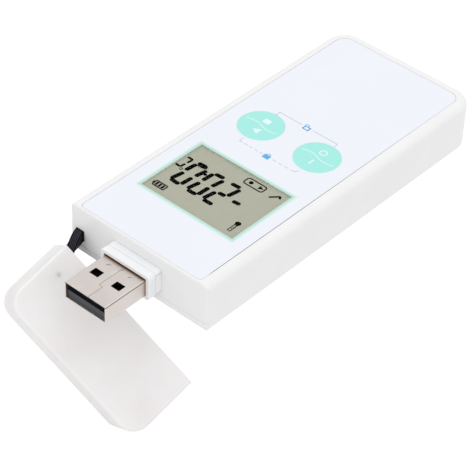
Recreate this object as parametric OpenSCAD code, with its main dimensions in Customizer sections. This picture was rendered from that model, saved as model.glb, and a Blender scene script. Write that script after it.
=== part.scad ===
// Pocket temperature data logger: a flat two-part case with a display and two keys
// under a printed film, a plug for a computer port at one end, and a soft cap that
// hangs on a rubber strap. The origin is the middle of the flat back. Z points out
// of the label and Y towards the plug.

/* [Case] */
// Width of the case
case_w = 40.2; // [39.4:0.2:44]
// Length of the case without the plug
case_l = 92; // [91:0.5:100]
// Thickness of the case
case_h = 12.6; // [12.4:0.1:13.4]
// Wall of the case halves
wall = 1.6; // [1.4:0.1:1.7]
// Height of the joint line between cover and front
parting_h = 2.1; // [2:0.05:2.3]
// Rounding of the long front edges and the far front edge
edge_r = 1.9; // [1.4:0.1:2.4]
// Rounding of the front edge at the plug end
plug_edge_r = 0.6; // [0.3:0.1:1]
// Rounding of the back edge
back_edge_r = 0.9; // [0.4:0.1:1.2]
// Corner radius at the far end, seen from the front
far_corner_r = 5.5; // [4:0.5:7]
// Corner radius at the plug end, seen from the front
plug_corner_r = 1; // [0.8:0.1:1.4]
// Width of the gasket in the joint
gasket_w = 0.7; // [0.5:0.1:0.8]
// Depth of the gasket in the joint
gasket_h = 0.6; // [0.4:0.1:0.8]

/* [Screws] */
// Shank diameter of the case screws
screw_d = 2; // [1.6:0.1:2.2]
// Head diameter of the case screws
screw_head_d = 3.5; // [3.2:0.1:3.8]
// Head height of the case screws
screw_head_h = 1.1; // [0.9:0.1:1.2]
// Length of the screws under the head
screw_l = 7; // [5:0.5:8]
// Distance of the screws from the sides of the case
screw_side_gap = 4; // [3.9:0.1:4.2]
// Place of the front screws from the plug end, as a share of the case's length
screw_share = 0.0924; // [0.09:0.0002:0.096]
// Distance of the rear screws from the far end
screw_far_gap = 6.5; // [6:0.5:8]
// Diameter of the screw bosses
boss_d = 4.2; // [3.8:0.1:4.4]

/* [Label] */
// Distance of the printed film from the sides of the case
label_side_gap = 2.6; // [2.3:0.1:3.1]
// Distance of the film from the plug end
label_plug_gap = 0.6; // [0.5:0.1:1.2]
// Distance of the film from the far end
label_far_gap = 2.8; // [2.4:0.2:4]
// Thickness of the film
label_t = 0.2; // [0.15:0.05:0.3]
// Corner radius of the film at the far end
label_far_r = 2.8; // [1.5:0.1:4]
// Corner radius of the film at the plug end
label_plug_r = 1; // [0.5:0.1:1.5]

/* [Display] */
// Distance of the window from the sides of the case
view_side_gap = 6.8; // [6.5:0.1:7.6]
// Height of the window
view_h = 19.5; // [18:0.5:20]
// Place of the window from the plug end, as a share of the case's length
view_plug_share = 0.163; // [0.16:0.001:0.172]
// Edge by which the window pane is bonded under the film
pane_lip = 0.9; // [0.6:0.1:1.2]
// Thickness of that edge
pane_t = 0.2; // [0.15:0.05:0.3]
// Rim of the display glass beside the window
glass_rim_w = 2.2; // [1.8:0.1:2.4]
// Rim of the front display glass above and below the window
glass_rim_h = 2.25; // [2:0.05:2.35]
// Thickness of each of the two display glasses
plate_t = 1; // [0.7:0.1:1.1]
// Width of the contact edge at the top and bottom of the glass
glass_ledge = 2.6; // [2.4:0.1:3]
// Thickness of the front polariser
polariser_t = 0.2; // [0.1:0.05:0.25]
// Thickness of the reflector
reflector_t = 0.3; // [0.2:0.05:0.4]
// Width of the rubber contact strips
strip_w = 1.8; // [1.4:0.1:2]
// Wall and floor of the display holder
holder_wall = 0.9; // [0.7:0.1:1]

/* [Keys] */
// Diameter of the keys
key_d = 10.6; // [9.6:0.2:11.2]
// Distance between the two keys
key_pitch = 16.54; // [16:0.1:17]
// Place of the keys between the display holder and the middle of the cell, as a share
key_share = 0.3143; // [0.3:0.0001:0.35]
// Travel of the keys
key_travel = 0.3; // [0.2:0.05:0.4]
// Width of the retaining flange of a key
key_flange = 0.9; // [0.6:0.1:1.2]
// Diameter of the key stems
stem_d = 3.2; // [2.6:0.1:3.6]
// Side of the square switch bodies
switch_side = 6; // [5.4:0.1:6.4]
// Distance of the switch bodies from the keys' flanges
switch_gap = 0.75; // [0.65:0.05:0.95]

/* [Board] */
// Distance of the circuit board from the side walls
board_side_gap = 2; // [1.7:0.1:2.5]
// Distance of the circuit board from the coin cell
board_cell_gap = 1.25; // [1.1:0.05:2]
// Distance of the board from the plug end
board_plug_gap = 5; // [4.8:0.1:5.4]
// Thickness of the board
board_t = 1; // [0.8:0.1:1]
// Side of the controller chip
chip_side = 7; // [6:0.5:7.5]
// Height of the chips
chip_h = 1; // [0.7:0.1:1.4]

/* [Battery] */
// Diameter of the coin cell
cell_d = 24.5; // [23:0.5:24.5]
// Height of the coin cell
cell_h = 5; // [4:0.2:5]
// Place of the middle of the cell from the far end, as a share of the case's length
cell_share = 0.2065; // [0.204:0.0005:0.2085]
// Wall of the ring around the cell
cell_ring = 1.2; // [0.9:0.1:1.2]
// Thickness of the cell tabs
tab_t = 0.2; // [0.15:0.05:0.2]
// Width of the cell tabs
tab_w = 4; // [3:0.5:5]

/* [Plug] */
// Width of the plug shell
plug_w = 12; // [11.9:0.05:12.1]
// Height of the plug shell
plug_h = 4.5; // [4.4:0.05:4.6]
// Length of the plug shell in front of its collar
plug_out = 11.76; // [11:0.2:12.4]
// Distance of the plug's contacts from the display holder
contact_holder_gap = 0.35; // [0.2:0.05:0.9]
// Sheet thickness of the plug shell
shell_t = 0.3; // [0.2:0.05:0.35]
// Width of the windows in the shell
notch_w = 2.45; // [2.2:0.05:2.7]
// Length of the windows in the shell
notch_l = 2.05; // [1.8:0.05:2.4]
// Distance between the two windows
notch_pitch = 6.27; // [5.8:0.05:6.6]
// Distance of the windows from the tip
notch_tip_gap = 5.6; // [5:0.1:6]
// Thickness of the contact tongue
tongue_t = 1.9; // [1.8:0.05:1.95]
// Setback of the tongue from the tip
tongue_gap = 0.5; // [0.3:0.1:1]
// Depth of the mating space in front of the insulator
socket_l = 11; // [10:0.2:11.4]
// Width of the gold contacts
contact_w = 1; // [0.8:0.1:1.2]
// Thickness of the gold contacts
contact_t = 0.15; // [0.1:0.05:0.2]

/* [Collar] */
// Width that the collar has beyond each side of the plug
collar_side = 1.15; // [1:0.05:1.35]
// Height that the collar has above the plug
collar_high = 1.35; // [1.25:0.05:1.45]
// Height that the collar has below the plug
collar_low = 0.75; // [0.7:0.05:0.8]
// Distance of the collar above the joint line
collar_joint_gap = 0.95; // [0.9:0.05:1]
// Length of the collar in front of the case
collar_out = 3.84; // [3.4:0.1:4.4]
// Corner radius of the collar
collar_r = 1; // [0.6:0.1:1.4]
// Overhang of the retaining flange at the sides, inside the case
collar_flange = 0.7; // [0.5:0.1:0.75]
// Wall of the collar around the black seal
collar_wall = 0.5; // [0.4:0.05:0.55]
// Wall of the collar below and above the seal
collar_rim = 0.3; // [0.25:0.05:0.4]
// Distance of the black seal behind the front of the collar
seal_inset = 0.65; // [0.4:0.05:1]
// Distance of the groove round the collar behind its front
groove_back = 1.7; // [1.4:0.1:2]
// Width of the groove round the collar
groove_w = 0.4; // [0.3:0.05:0.5]
// Depth of the groove round the collar
groove_deep = 0.15; // [0.1:0.05:0.2]

/* [Strap] */
// Thickness of the rubber strap
strap_t = 2.2; // [1.8:0.1:2.3]
// Height of the rubber strap
strap_h = 4; // [3.4:0.1:4.1]
// Distance of the middle of the strap from the side of the case
strap_side_gap = 3.05; // [3:0.05:3.2]
// Play of the strap in its slot
strap_play = 0.15; // [0.1:0.05:0.2]
// Reach of the strap from its bend to the cap
strap_reach = 3.82; // [3.6:0.1:4.6]
// Drop of the strap from its bend to the cap
strap_drop = 1.12; // [0.8:0.1:1.4]
// Sideways shift of the strap from its bend to the cap
strap_shift = 0.52; // [0.3:0.1:0.8]
// Distance of the bend from the case
bend_out = 0.3; // [0.25:0.05:0.6]
// Thickness of the head that holds the strap in the case
head_l = 1.9; // [1.6:0.1:2]
// Overhang of the head that holds the strap in the case
head_reach = 0.7; // [0.5:0.1:0.9]

/* [Cap] */
// Width that the cap has over the case
cap_over = 0.8; // [0.4:0.1:1.2]
// Depth of the cap
cap_d = 17.9; // [17.4:0.2:19]
// Thickness of the cap
cap_h = 12.6; // [12.2:0.2:13.2]
// Wall of the cap
cap_wall = 1.4; // [1.2:0.1:1.6]
// Corner radius of the closed end
cap_corner_r = 4.5; // [3.5:0.5:6]
// Rounding of the edges of the cap
cap_edge_r = 0.7; // [0.4:0.1:1]
// Roll of the hanging cap
cap_roll_angle = -41.08; // [-43:0.5:-40]
// Pitch of the hanging cap
cap_pitch_angle = -32.35; // [-33:0.5:-30]
// Turn of the hanging cap
cap_turn_angle = 15.66; // [14:0.5:17]
// Cover of the cap outside the strap
strap_cover = 0.7; // [0.6:0.1:0.9]
// Width of the eye at the end of the strap
eye_w = 4.7; // [4.4:0.1:5]
// Length of the strap inside the cap
strap_end_l = 8; // [7.4:0.2:8.6]
// Length of the narrow part of the strap inside the cap
neck_l = 3; // [2.6:0.2:3.4]
// Diameter of the pin through the eye
pin_d = 0.8; // [0.6:0.1:1]
// Distance of the pin from the mouth of the cap
pin_depth = 5.5; // [5.2:0.1:6]
// Distance of the pin from the side of the cap
pin_side = 3.6; // [3.3:0.1:3.8]

/* [Hidden] */
$fn = 64;

// Every cut runs this far past the surface that it opens.
overrun = 1;
// Play between pieces that are dropped into each other
fit = 0.1;
// Play round the bosses, where the board is dropped over them
boss_play = 0.2;
// Running clearance round what turns or slides
running = 0.05;

// Ends of the case
plug_end = case_l / 2;
far_end = -case_l / 2;
inner_top = case_h - wall;
film_z = case_h - label_t;

// Widths that follow the case
label_w = case_w - 2 * label_side_gap;
view_w = case_w - 2 * view_side_gap;
glass_w = view_w + 2 * glass_rim_w;
board_w = case_w - 2 * wall - 2 * board_side_gap;
screw_x = case_w / 2 - screw_side_gap;
strap_x = case_w / 2 - strap_side_gap;
cap_w = case_w + cap_over;

// Plug and collar in the height of the case
collar_w = plug_w + 2 * collar_side;
collar_h = plug_h + collar_low + collar_high;
collar_z = parting_h + collar_joint_gap;
plug_z = collar_z + collar_low;
tongue_top = plug_z + shell_t + tongue_t;

// Joint between the case halves
gasket_inset = (wall - gasket_w) / 2;
lip_t = 1;
lip_h = 1.6;
lip_share = 0.66;

// Screws
screw_front_y = plug_end - case_l * screw_share;
screw_rear_y = far_end + screw_far_gap;
screw_sink = 0.1;
recess_w = 0.4;
screw_seat = screw_sink + screw_head_h;
pad_h = 0.9;
boss_z = screw_seat + pad_h + running;
screw_places = [[screw_x, screw_front_y], [-screw_x, screw_front_y],
                [screw_x, screw_rear_y], [-screw_x, screw_rear_y]];

// Height of the board: the plug's contacts lie on it
board_top = tongue_top;
board_z = board_top - board_t;

// Display stack, from the pane down to the holder
glass_h = view_h + 2 * glass_rim_h;
view_y = plug_end - case_l * view_plug_share - view_h / 2;
holder_front = view_y + glass_h / 2 + fit + holder_wall;
holder_rear = view_y - glass_h / 2 - fit - holder_wall;
cell_y = far_end + case_l * cell_share;
pane_z = film_z - pane_t;
glass_top = pane_z - polariser_t;
glass_mid = glass_top - plate_t;
glass_low = glass_mid - plate_t;
reflector_z = glass_low - reflector_t;
rear_glass_h = glass_h - 2 * glass_ledge;

// Keys
key_r = key_d / 2;
key_y = holder_rear - (holder_rear - cell_y) * key_share;
flange_t = 0.8;
flange_top = inner_top - running;
flange_low = flange_top - flange_t;
switch_top = flange_low - switch_gap;
switch_h = switch_top - board_top;
stem_low = switch_top - key_travel - key_travel;

// Board, which ends short of the cell. The chips' places and sides are shares of the controller's side.
memory_x_share = 1.1;
memory_w_share = 0.6;
memory_l_share = 0.75;
crystal_l_share = 0.8;
chip_gap = 0.2;
sensor_w = 1.6;
sensor_l = 3;
board_front = plug_end - board_plug_gap;
board_rear = cell_y + cell_d / 2 + board_cell_gap;
board_post_x = board_w / 2 - boss_d / 2;
board_post_y = view_y - glass_h / 4;

// Battery
cell_z = wall + tab_t;
ring_r = cell_d / 2 + 2 * fit;
tab_x = (key_pitch - switch_side - tab_w) / 2 - chip_gap;
tab_foot = 1.6;
tab_reach = 7;

// Plug
collar_front = plug_end + collar_out;
groove_y = collar_front - groove_back - groove_w;
plug_tip = collar_front + plug_out;
contact_tail = 2;
shell_rear = holder_front + contact_holder_gap + contact_tail;
socket_y = plug_tip - socket_l;
contact_tip_gap = 1.1;
contact_inner_share = 0.105;
contact_outer_share = 0.3;

// Collar
flange_l = 1.2;

// Strap: the bend axis lies along X, in the middle of the strap's height
slot_play = 0.45;
slot_top = parting_h + strap_h + slot_play;
bend_y = plug_end + bend_out;
bend_z = (parting_h + slot_top) / 2;
mouth_at = [strap_x - strap_shift, bend_y + strap_reach, bend_z - strap_drop];
cap_angles = [cap_pitch_angle, cap_roll_angle, cap_turn_angle];
slice = 0.02;
// Heights of the strap's path between bend and mouth, as shares of its drop
strap_shares = [[0, 0], [0.3, 0.12], [0.6, 0.46], [0.82, 0.75], [1, 1]];

// Middle of the strap in the cap's own frame
strap_in_x = cap_w / 2 - strap_cover - strap_t / 2;
strap_in_z = cap_h / 2 - cap_wall - strap_h / 2;
pocket_wall = 0.8;

// Cuts a quarter round off a corner that lies at [r, r].
module corner_cut(r) {
    difference() {
        square(r + overrun);
        circle(r);
    }
}

// Half of a cross-section: its outer corners are rounded by low_r and high_r.
module half_section(x, h, low_r, high_r) {
    difference() {
        square([x, h]);
        if (high_r > 0) translate([x - high_r, h - high_r]) corner_cut(high_r);
        if (low_r > 0) translate([x - low_r, low_r]) mirror([0, 1]) corner_cut(low_r);
    }
}

// Tray that is square at y = 0 and has rounded corners and edges at y = -l.
module tray(w, l, h, corner_r, low_r, high_r) {
    rotate([90, 0, 0]) linear_extrude(l - corner_r) for (s = [0, 1])
        mirror([s, 0]) half_section(w / 2, h, low_r, high_r);
    translate([corner_r - w / 2, corner_r - l, 0])
        mirror([0, 1, 0]) rotate([90, 0, 90])
        linear_extrude(w - 2 * corner_r) half_section(corner_r, h, low_r, high_r);
    for (s = [0, 1]) mirror([s, 0, 0])
        translate([w / 2 - corner_r, corner_r - l, 0]) rotate([0, 0, -90])
        rotate_extrude(angle = 90) half_section(corner_r, h, low_r, high_r);
}

// Rectangle with round corners, centred on the origin
module round_plate(w, l, r) {
    square([w - 2 * r, l], center = true);
    square([w, l - 2 * r], center = true);
    for (x = [-1, 1], y = [-1, 1])
        translate([x * (w / 2 - r), y * (l / 2 - r)]) circle(r);
}

// Outline of the case, drawn in by inset, with its corner radii drawn in too
module case_plan(inset) {
    far_r = far_corner_r - inset;
    near_r = max(plug_corner_r - inset, 0);
    w = case_w - 2 * inset;
    l = case_l - 2 * inset;
    difference() {
        square([w, l], center = true);
        for (s = [0, 1]) mirror([s, 0]) {
            translate([w / 2 - far_r, far_r - l / 2]) mirror([0, 1]) corner_cut(far_r);
            if (near_r > 0) translate([w / 2 - near_r, l / 2 - near_r])
                corner_cut(near_r);
        }
    }
}

// Solid outside of a case half of height h, with rounded edges at its top
module case_block(h, r, plug_r) {
    difference() {
        translate([0, plug_end, 0])
            tray(case_w, case_l, h, far_corner_r, 0, r);
        // edge at the plug end
        translate([-case_w / 2 - overrun, plug_end - plug_r, h - plug_r])
            rotate([90, 0, 90]) linear_extrude(case_w + 2 * overrun) corner_cut(plug_r);
        // upright corners at the plug end
        for (s = [0, 1]) mirror([s, 0, 0])
            translate([case_w / 2 - plug_corner_r, plug_end - plug_corner_r, -overrun])
            linear_extrude(h + 2 * overrun) corner_cut(plug_corner_r);
    }
}

// Opening of the collar in the end wall, or the collar's own section, which its
// flange makes wider
module collar_section(grow, wider) {
    translate([0, collar_z + collar_h / 2])
        round_plate(collar_w + 2 * grow + 2 * wider, collar_h + 2 * grow,
                    collar_r + grow);
}

// Extrudes a section drawn in X and Z from y_low to y_high.
module along_y(y_low, y_high) {
    translate([0, y_high, 0]) rotate([90, 0, 0]) linear_extrude(y_high - y_low)
        children();
}

module front_case() {
    color("white") difference() {
        union() {
            difference() {
                translate([0, 0, parting_h])
                    case_block(case_h - parting_h, edge_r, plug_edge_r);
                translate([0, 0, parting_h - overrun])
                    linear_extrude(inner_top - parting_h + overrun) case_plan(wall);
            }
            for (p = screw_places) translate([p[0], p[1], boss_z])
                cylinder(h = inner_top - boss_z + wall / 2, d = boss_d);
        }
        // screw holes
        for (p = screw_places) translate([p[0], p[1], boss_z - overrun])
            cylinder(h = screw_l - pad_h + overrun + wall / 2, d = screw_d + 2 * running);
        // recess of the film
        translate([0, 0, film_z]) linear_extrude(label_t + overrun) label_plan(running);
        // opening of the display, in which the front glass lies
        translate([0, view_y, inner_top - overrun]) linear_extrude(wall + 2 * overrun)
            square([glass_w + 2 * fit, glass_h + 2 * fit], center = true);
        // key holes
        for (s = [-1, 1]) translate([s * key_pitch / 2, key_y, inner_top - overrun])
            cylinder(h = wall + 2 * overrun, r = key_r + fit);
        // collar opening, and room for the flange behind it
        along_y(plug_end - wall - overrun, plug_end + overrun)
            collar_section(running, 0);
        along_y(plug_end - wall - flange_l - running, plug_end - wall)
            collar_section(running, collar_flange);
        // strap slot, open towards the back cover
        translate([strap_x - strap_t / 2 - strap_play, plug_end - wall - overrun,
                   parting_h - overrun])
            cube([strap_t + 2 * strap_play, wall + 2 * overrun,
                  slot_top - parting_h + overrun]);
    }
}

module back_cover() {
    color("white") difference() {
        union() {
            difference() {
                translate([0, 0, parting_h]) mirror([0, 0, 1])
                    case_block(parting_h, back_edge_r, back_edge_r);
                translate([0, 0, wall]) linear_extrude(parting_h) case_plan(wall);
            }
            // lips that reach into the front half
            for (s = [-1, 1])
                translate([s * (case_w / 2 - wall - fit - lip_t / 2), 0,
                           (wall + parting_h + lip_h) / 2])
                cube([lip_t, case_l * lip_share, parting_h + lip_h - wall], center = true);
            // pads round the screws
            for (p = screw_places) translate([p[0], p[1], wall / 2])
                cylinder(h = boss_z - running - wall / 2, d = boss_d);
            // ring round the cell, which also carries the end of the board
            translate([0, cell_y, wall / 2])
                cylinder(h = board_z - wall / 2, r = ring_r + cell_ring);
            // posts under the board
            for (x = [-1, 1], y = [board_post_y, key_y])
                translate([x * board_post_x, y, wall / 2])
                cylinder(h = board_z - wall / 2, d = boss_d / 2);
            // rib behind the strap's head
            translate([strap_x - strap_t / 2, plug_end - wall - head_l - running - lip_t,
                       wall / 2])
                cube([strap_t, lip_t, bend_z - wall / 2]);
        }
        // pocket of the cell, and the way out of the lower tab
        translate([0, cell_y, wall]) cylinder(h = board_z, r = ring_r);
        translate([-tab_x - tab_w / 2 - fit, cell_y, wall])
            cube([tab_w + 2 * fit, cell_d, tab_t + fit]);
        // gasket groove
        translate([0, 0, parting_h - gasket_h]) linear_extrude(gasket_h + overrun)
            gasket_plan();
        // screw holes with sunk heads
        for (p = screw_places) translate([p[0], p[1], 0]) {
            translate([0, 0, -overrun]) cylinder(h = screw_seat + overrun,
                                                 d = screw_head_d + 2 * fit);
            cylinder(h = boss_z, d = screw_d + 2 * fit);
        }
    }
}

module gasket_plan() {
    difference() {
        case_plan(gasket_inset);
        case_plan(gasket_inset + gasket_w);
    }
}

module case_seal() {
    color("dimgray") translate([0, 0, parting_h - gasket_h]) linear_extrude(gasket_h)
        gasket_plan();
}

module case_screws() {
    color("silver") for (p = screw_places) translate([p[0], p[1], screw_sink])
        difference() {
            union() {
                cylinder(h = screw_head_h, d = screw_head_d);
                cylinder(h = screw_head_h + screw_l, d = screw_d);
            }
            // cross recess
            for (a = [0, 90]) rotate([0, 0, a])
                translate([-screw_d / 2, -recess_w / 2, -overrun])
                cube([screw_d, recess_w, overrun + screw_head_h / 2]);
        }
}

// Outline of the printed film
module label_plan(grow) {
    l = case_l - label_plug_gap - label_far_gap + 2 * grow;
    w = label_w + 2 * grow;
    translate([0, (label_far_gap - label_plug_gap) / 2]) difference() {
        square([w, l], center = true);
        for (s = [0, 1]) mirror([s, 0]) {
            translate([w / 2 - label_far_r, label_far_r - l / 2])
                mirror([0, 1]) corner_cut(label_far_r);
            translate([w / 2 - label_plug_r, l / 2 - label_plug_r])
                corner_cut(label_plug_r);
        }
    }
}

module face_label() {
    color("aliceblue") translate([0, 0, film_z]) linear_extrude(label_t) difference() {
        label_plan(0);
        translate([0, view_y]) square([view_w, view_h], center = true);
        for (s = [-1, 1]) translate([s * key_pitch / 2, key_y]) circle(key_r + fit);
    }
}

module display_window() {
    color("lightcyan", 0.5) translate([0, view_y, pane_z]) {
        linear_extrude(pane_t)
            square([view_w + 2 * pane_lip, view_h + 2 * pane_lip], center = true);
        linear_extrude(pane_t + label_t)
            square([view_w - 2 * running, view_h - 2 * running], center = true);
    }
}

module front_polariser() {
    color("darkkhaki") translate([0, view_y, glass_top]) linear_extrude(polariser_t)
        square([view_w - 2 * fit, view_h - 2 * fit], center = true);
}

module lcd_glass() {
    color("lightgray") translate([0, view_y, glass_low]) {
        linear_extrude(2 * plate_t) square([glass_w, rear_glass_h], center = true);
        translate([0, 0, plate_t]) linear_extrude(plate_t)
            square([glass_w, glass_h], center = true);
    }
}

module lcd_reflector() {
    color("silver") translate([0, view_y, reflector_z]) linear_extrude(reflector_t)
        square([view_w, rear_glass_h - 2 * fit], center = true);
}

// Contact strips lie under the ledges of the front glass.
strip_y = glass_h / 2 - strip_w / 2 - fit;

module lcd_holder() {
    color("black") difference() {
        translate([0, view_y, board_top]) linear_extrude(inner_top - board_top)
            square([glass_w + 2 * fit + 2 * holder_wall,
                    glass_h + 2 * fit + 2 * holder_wall], center = true);
        // seat of the glass
        translate([0, view_y, reflector_z]) linear_extrude(inner_top)
            square([glass_w + 2 * fit, glass_h + 2 * fit], center = true);
        // room for the chips below the floor
        translate([0, view_y, board_top - overrun])
            linear_extrude(reflector_z - holder_wall - board_top + overrun)
            square([view_w - 2 * holder_wall, rear_glass_h - 2 * holder_wall],
                   center = true);
        // pockets over the chips
        translate([0, 0, board_top - overrun])
            linear_extrude(chip_h + chip_gap + overrun) chip_plan(chip_gap);
        // slots of the contact strips
        for (s = [-1, 1]) translate([0, view_y + s * strip_y, board_top - overrun])
            linear_extrude(inner_top)
            square([view_w + 2 * fit, strip_w + 2 * running], center = true);
    }
}

module contact_strips() {
    color("dimgray") for (s = [-1, 1])
        translate([0, view_y + s * strip_y, board_top])
        linear_extrude(glass_mid - board_top) square([view_w, strip_w], center = true);
}

module key(side) {
    translate([side * key_pitch / 2, key_y, 0]) {
        translate([0, 0, flange_low]) cylinder(h = case_h - flange_low, r = key_r);
        translate([0, 0, flange_low]) cylinder(h = flange_t, r = key_r + key_flange);
        translate([0, 0, stem_low]) cylinder(h = flange_low - stem_low, d = stem_d);
    }
}

module start_key() {
    color("mediumaquamarine") key(1);
}

module power_key() {
    color("mediumaquamarine") key(-1);
}

// Switch body with the well in which the key's stem works
module switch_body(side) {
    translate([side * key_pitch / 2, key_y, board_top]) difference() {
        linear_extrude(switch_h) square(switch_side, center = true);
        translate([0, 0, switch_h / 2]) cylinder(h = switch_h, d = stem_d + 2 * running);
    }
}

module start_switch() {
    color("black") switch_body(1);
}

module power_switch() {
    color("black") switch_body(-1);
}

module main_board() {
    color("darkgreen") translate([0, 0, board_z]) linear_extrude(board_t) difference() {
        translate([0, (board_front + board_rear) / 2])
            square([board_w, board_front - board_rear], center = true);
        // bosses of the case
        for (p = screw_places) translate([p[0], p[1]]) circle(d = boss_d + 2 * boss_play);
        // notch that the plug shell sits in
        translate([-plug_w / 2 - fit, shell_rear - fit])
            square([plug_w + 2 * fit, board_front - shell_rear + overrun]);
    }
}

// Chips stand on the board, below the display holder.
module controller_plan(grow) {
    translate([0, view_y]) square(chip_side + 2 * grow, center = true);
}

module memory_plan(grow) {
    translate([chip_side * memory_x_share, view_y])
        square([chip_side * memory_w_share + 2 * grow,
                chip_side * memory_l_share + 2 * grow], center = true);
}

module crystal_plan(grow) {
    translate([-chip_side * memory_x_share - chip_h / 2 - grow,
               view_y - chip_side / 2 - grow])
        square([chip_h + 2 * grow, chip_side * crystal_l_share + 2 * grow]);
}

module chip_plan(grow) {
    controller_plan(grow);
    memory_plan(grow);
    crystal_plan(grow);
}

module controller_chip() {
    color("black") translate([0, 0, board_top]) linear_extrude(chip_h)
        controller_plan(0);
}

module memory_chip() {
    color("black") translate([0, 0, board_top]) linear_extrude(chip_h) memory_plan(0);
}

module crystal() {
    color("silver") translate([-chip_side * memory_x_share, view_y - chip_side / 2,
                               board_top + chip_h / 2])
        rotate([-90, 0, 0]) cylinder(h = chip_side * crystal_l_share, d = chip_h);
}

module temperature_sensor() {
    color("black") translate([board_post_x, board_rear + sensor_l, board_top])
        linear_extrude(chip_h) square([sensor_w, sensor_l], center = true);
}

module battery_cell() {
    color("silver") translate([0, cell_y, cell_z]) {
        cylinder(h = cell_h - tab_t, d = cell_d);
        cylinder(h = cell_h, d = cell_d - wall);
    }
}

module battery_tab_positive() {
    top = cell_z + cell_h;
    y_foot = board_rear + tab_foot;
    color("gainsboro") {
        translate([tab_x - tab_w / 2, y_foot - tab_reach, top])
            cube([tab_w, tab_reach, tab_t]);
        translate([tab_x - tab_w / 2, y_foot - tab_t, board_top])
            cube([tab_w, tab_t, top - board_top + tab_t]);
        translate([tab_x - tab_w / 2, y_foot - tab_t, board_top])
            cube([tab_w, tab_foot, tab_t]);
    }
}

module battery_tab_negative() {
    y_foot = board_rear + tab_foot + cell_ring;
    color("gainsboro") {
        translate([-tab_x - tab_w / 2, y_foot - tab_reach - cell_ring, wall])
            cube([tab_w, tab_reach + cell_ring, tab_t]);
        translate([-tab_x - tab_w / 2, y_foot - tab_t, wall])
            cube([tab_w, tab_t, board_z - wall]);
    }
}

module usb_shell() {
    color("silver") difference() {
        along_y(shell_rear, plug_tip) translate([0, plug_z + plug_h / 2])
            round_plate(plug_w, plug_h, shell_t);
        along_y(shell_rear - overrun, plug_tip + overrun)
            translate([0, plug_z + plug_h / 2])
            square([plug_w - 2 * shell_t, plug_h - 2 * shell_t], center = true);
        // windows, two in the front and two in the back
        for (s = [-1, 1])
            translate([s * notch_pitch / 2 - notch_w / 2,
                       plug_tip - notch_tip_gap - notch_l, plug_z - overrun])
            cube([notch_w, notch_l, plug_h + 2 * overrun]);
    }
}

inner_w = plug_w - 2 * shell_t - 2 * running;

// Places of the four contacts across the plug
contact_xs = [for (s = [-1, 1], share = [contact_inner_share, contact_outer_share])
              s * share * plug_w];

module usb_tongue() {
    color("darkslategray") difference() {
        union() {
            translate([-inner_w / 2, shell_rear, plug_z + shell_t])
                cube([inner_w, plug_tip - tongue_gap - shell_rear, tongue_t]);
            translate([-inner_w / 2, shell_rear, plug_z + shell_t])
                cube([inner_w, socket_y - shell_rear, plug_h - 2 * shell_t - running]);
        }
        for (x = contact_xs)
            translate([x - contact_w / 2, shell_rear - overrun, tongue_top])
            cube([contact_w, socket_y - shell_rear + 2 * overrun, contact_t + running]);
    }
}

module usb_contacts() {
    color("gold") for (x = contact_xs)
        translate([x - contact_w / 2 + running, shell_rear - contact_tail, tongue_top])
        cube([contact_w - 2 * running,
              plug_tip - tongue_gap - contact_tip_gap - shell_rear + contact_tail,
              contact_t]);
}

module usb_collar() {
    color("white") difference() {
        union() {
            along_y(plug_end - wall - flange_l, collar_front) collar_section(0, 0);
            along_y(plug_end - wall - flange_l, plug_end - wall - running)
                collar_section(0, collar_flange);
        }
        // way of the shell
        along_y(plug_end - wall - flange_l - overrun, collar_front + overrun)
            translate([0, plug_z + plug_h / 2])
            square([plug_w + 2 * running, plug_h + 2 * running], center = true);
        // seat of the black seal
        along_y(plug_end, collar_front + overrun) seal_section();
        // groove round the collar
        along_y(groove_y, groove_y + groove_w) difference() {
            collar_section(overrun, 0);
            collar_section(-groove_deep, 0);
        }
    }
}

module seal_section() {
    w = collar_w - 2 * collar_wall;
    h = collar_h - 2 * collar_rim;
    translate([0, collar_z + collar_h / 2]) round_plate(w, h, collar_r - collar_rim);
}

module plug_seal() {
    color("black") difference() {
        along_y(plug_end, collar_front - seal_inset) seal_section();
        along_y(plug_end - overrun, collar_front + overrun)
            translate([0, plug_z + plug_h / 2])
            square([plug_w + 2 * running, plug_h + 2 * running], center = true);
    }
}

// Part of the strap that is held in the case, with a round seat for the bend
module strap_anchor() {
    color("black") difference() {
        union() {
            translate([strap_x - strap_t / 2, plug_end - wall - head_l,
                       bend_z - strap_h / 2])
                cube([strap_t, bend_y - strap_play - plug_end + wall + head_l, strap_h]);
            translate([strap_x - strap_t / 2 - head_reach, plug_end - wall - head_l,
                       bend_z - strap_h / 2])
                cube([strap_t / 2 + head_reach + strap_side_gap - wall - running,
                      head_l - running, strap_h]);
        }
        translate([strap_x, bend_y, bend_z]) rotate([0, 90, 0])
            cylinder(h = strap_t + 2 * overrun, d = strap_h + 2 * running, center = true);
    }
}

// Cross-section of the strap at a share of its way from the bend to the cap
module strap_slice(shares, forward) {
    along = shares[0];
    translate([strap_x - strap_shift * along * along, bend_y + strap_reach * along,
               bend_z - strap_drop * shares[1]])
        rotate(cap_angles * along)
        translate([-strap_t / 2, forward, -strap_h / 2])
        cube([strap_t, slice, strap_h]);
}

module cap_strap() {
    color("black") {
        translate([strap_x, bend_y, bend_z]) rotate([0, 90, 0])
            cylinder(h = strap_t, d = strap_h, center = true);
        for (i = [1 : len(strap_shares) - 1]) hull() {
            strap_slice(strap_shares[i - 1], 0);
            strap_slice(strap_shares[i], -slice);
        }
    }
}

// Places what is drawn in the cap's own frame, mouth at y = 0, on the hanging cap.
module on_cap() {
    translate(mouth_at) rotate(cap_angles) translate([-strap_in_x, 0, -strap_in_z])
        children();
}

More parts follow.
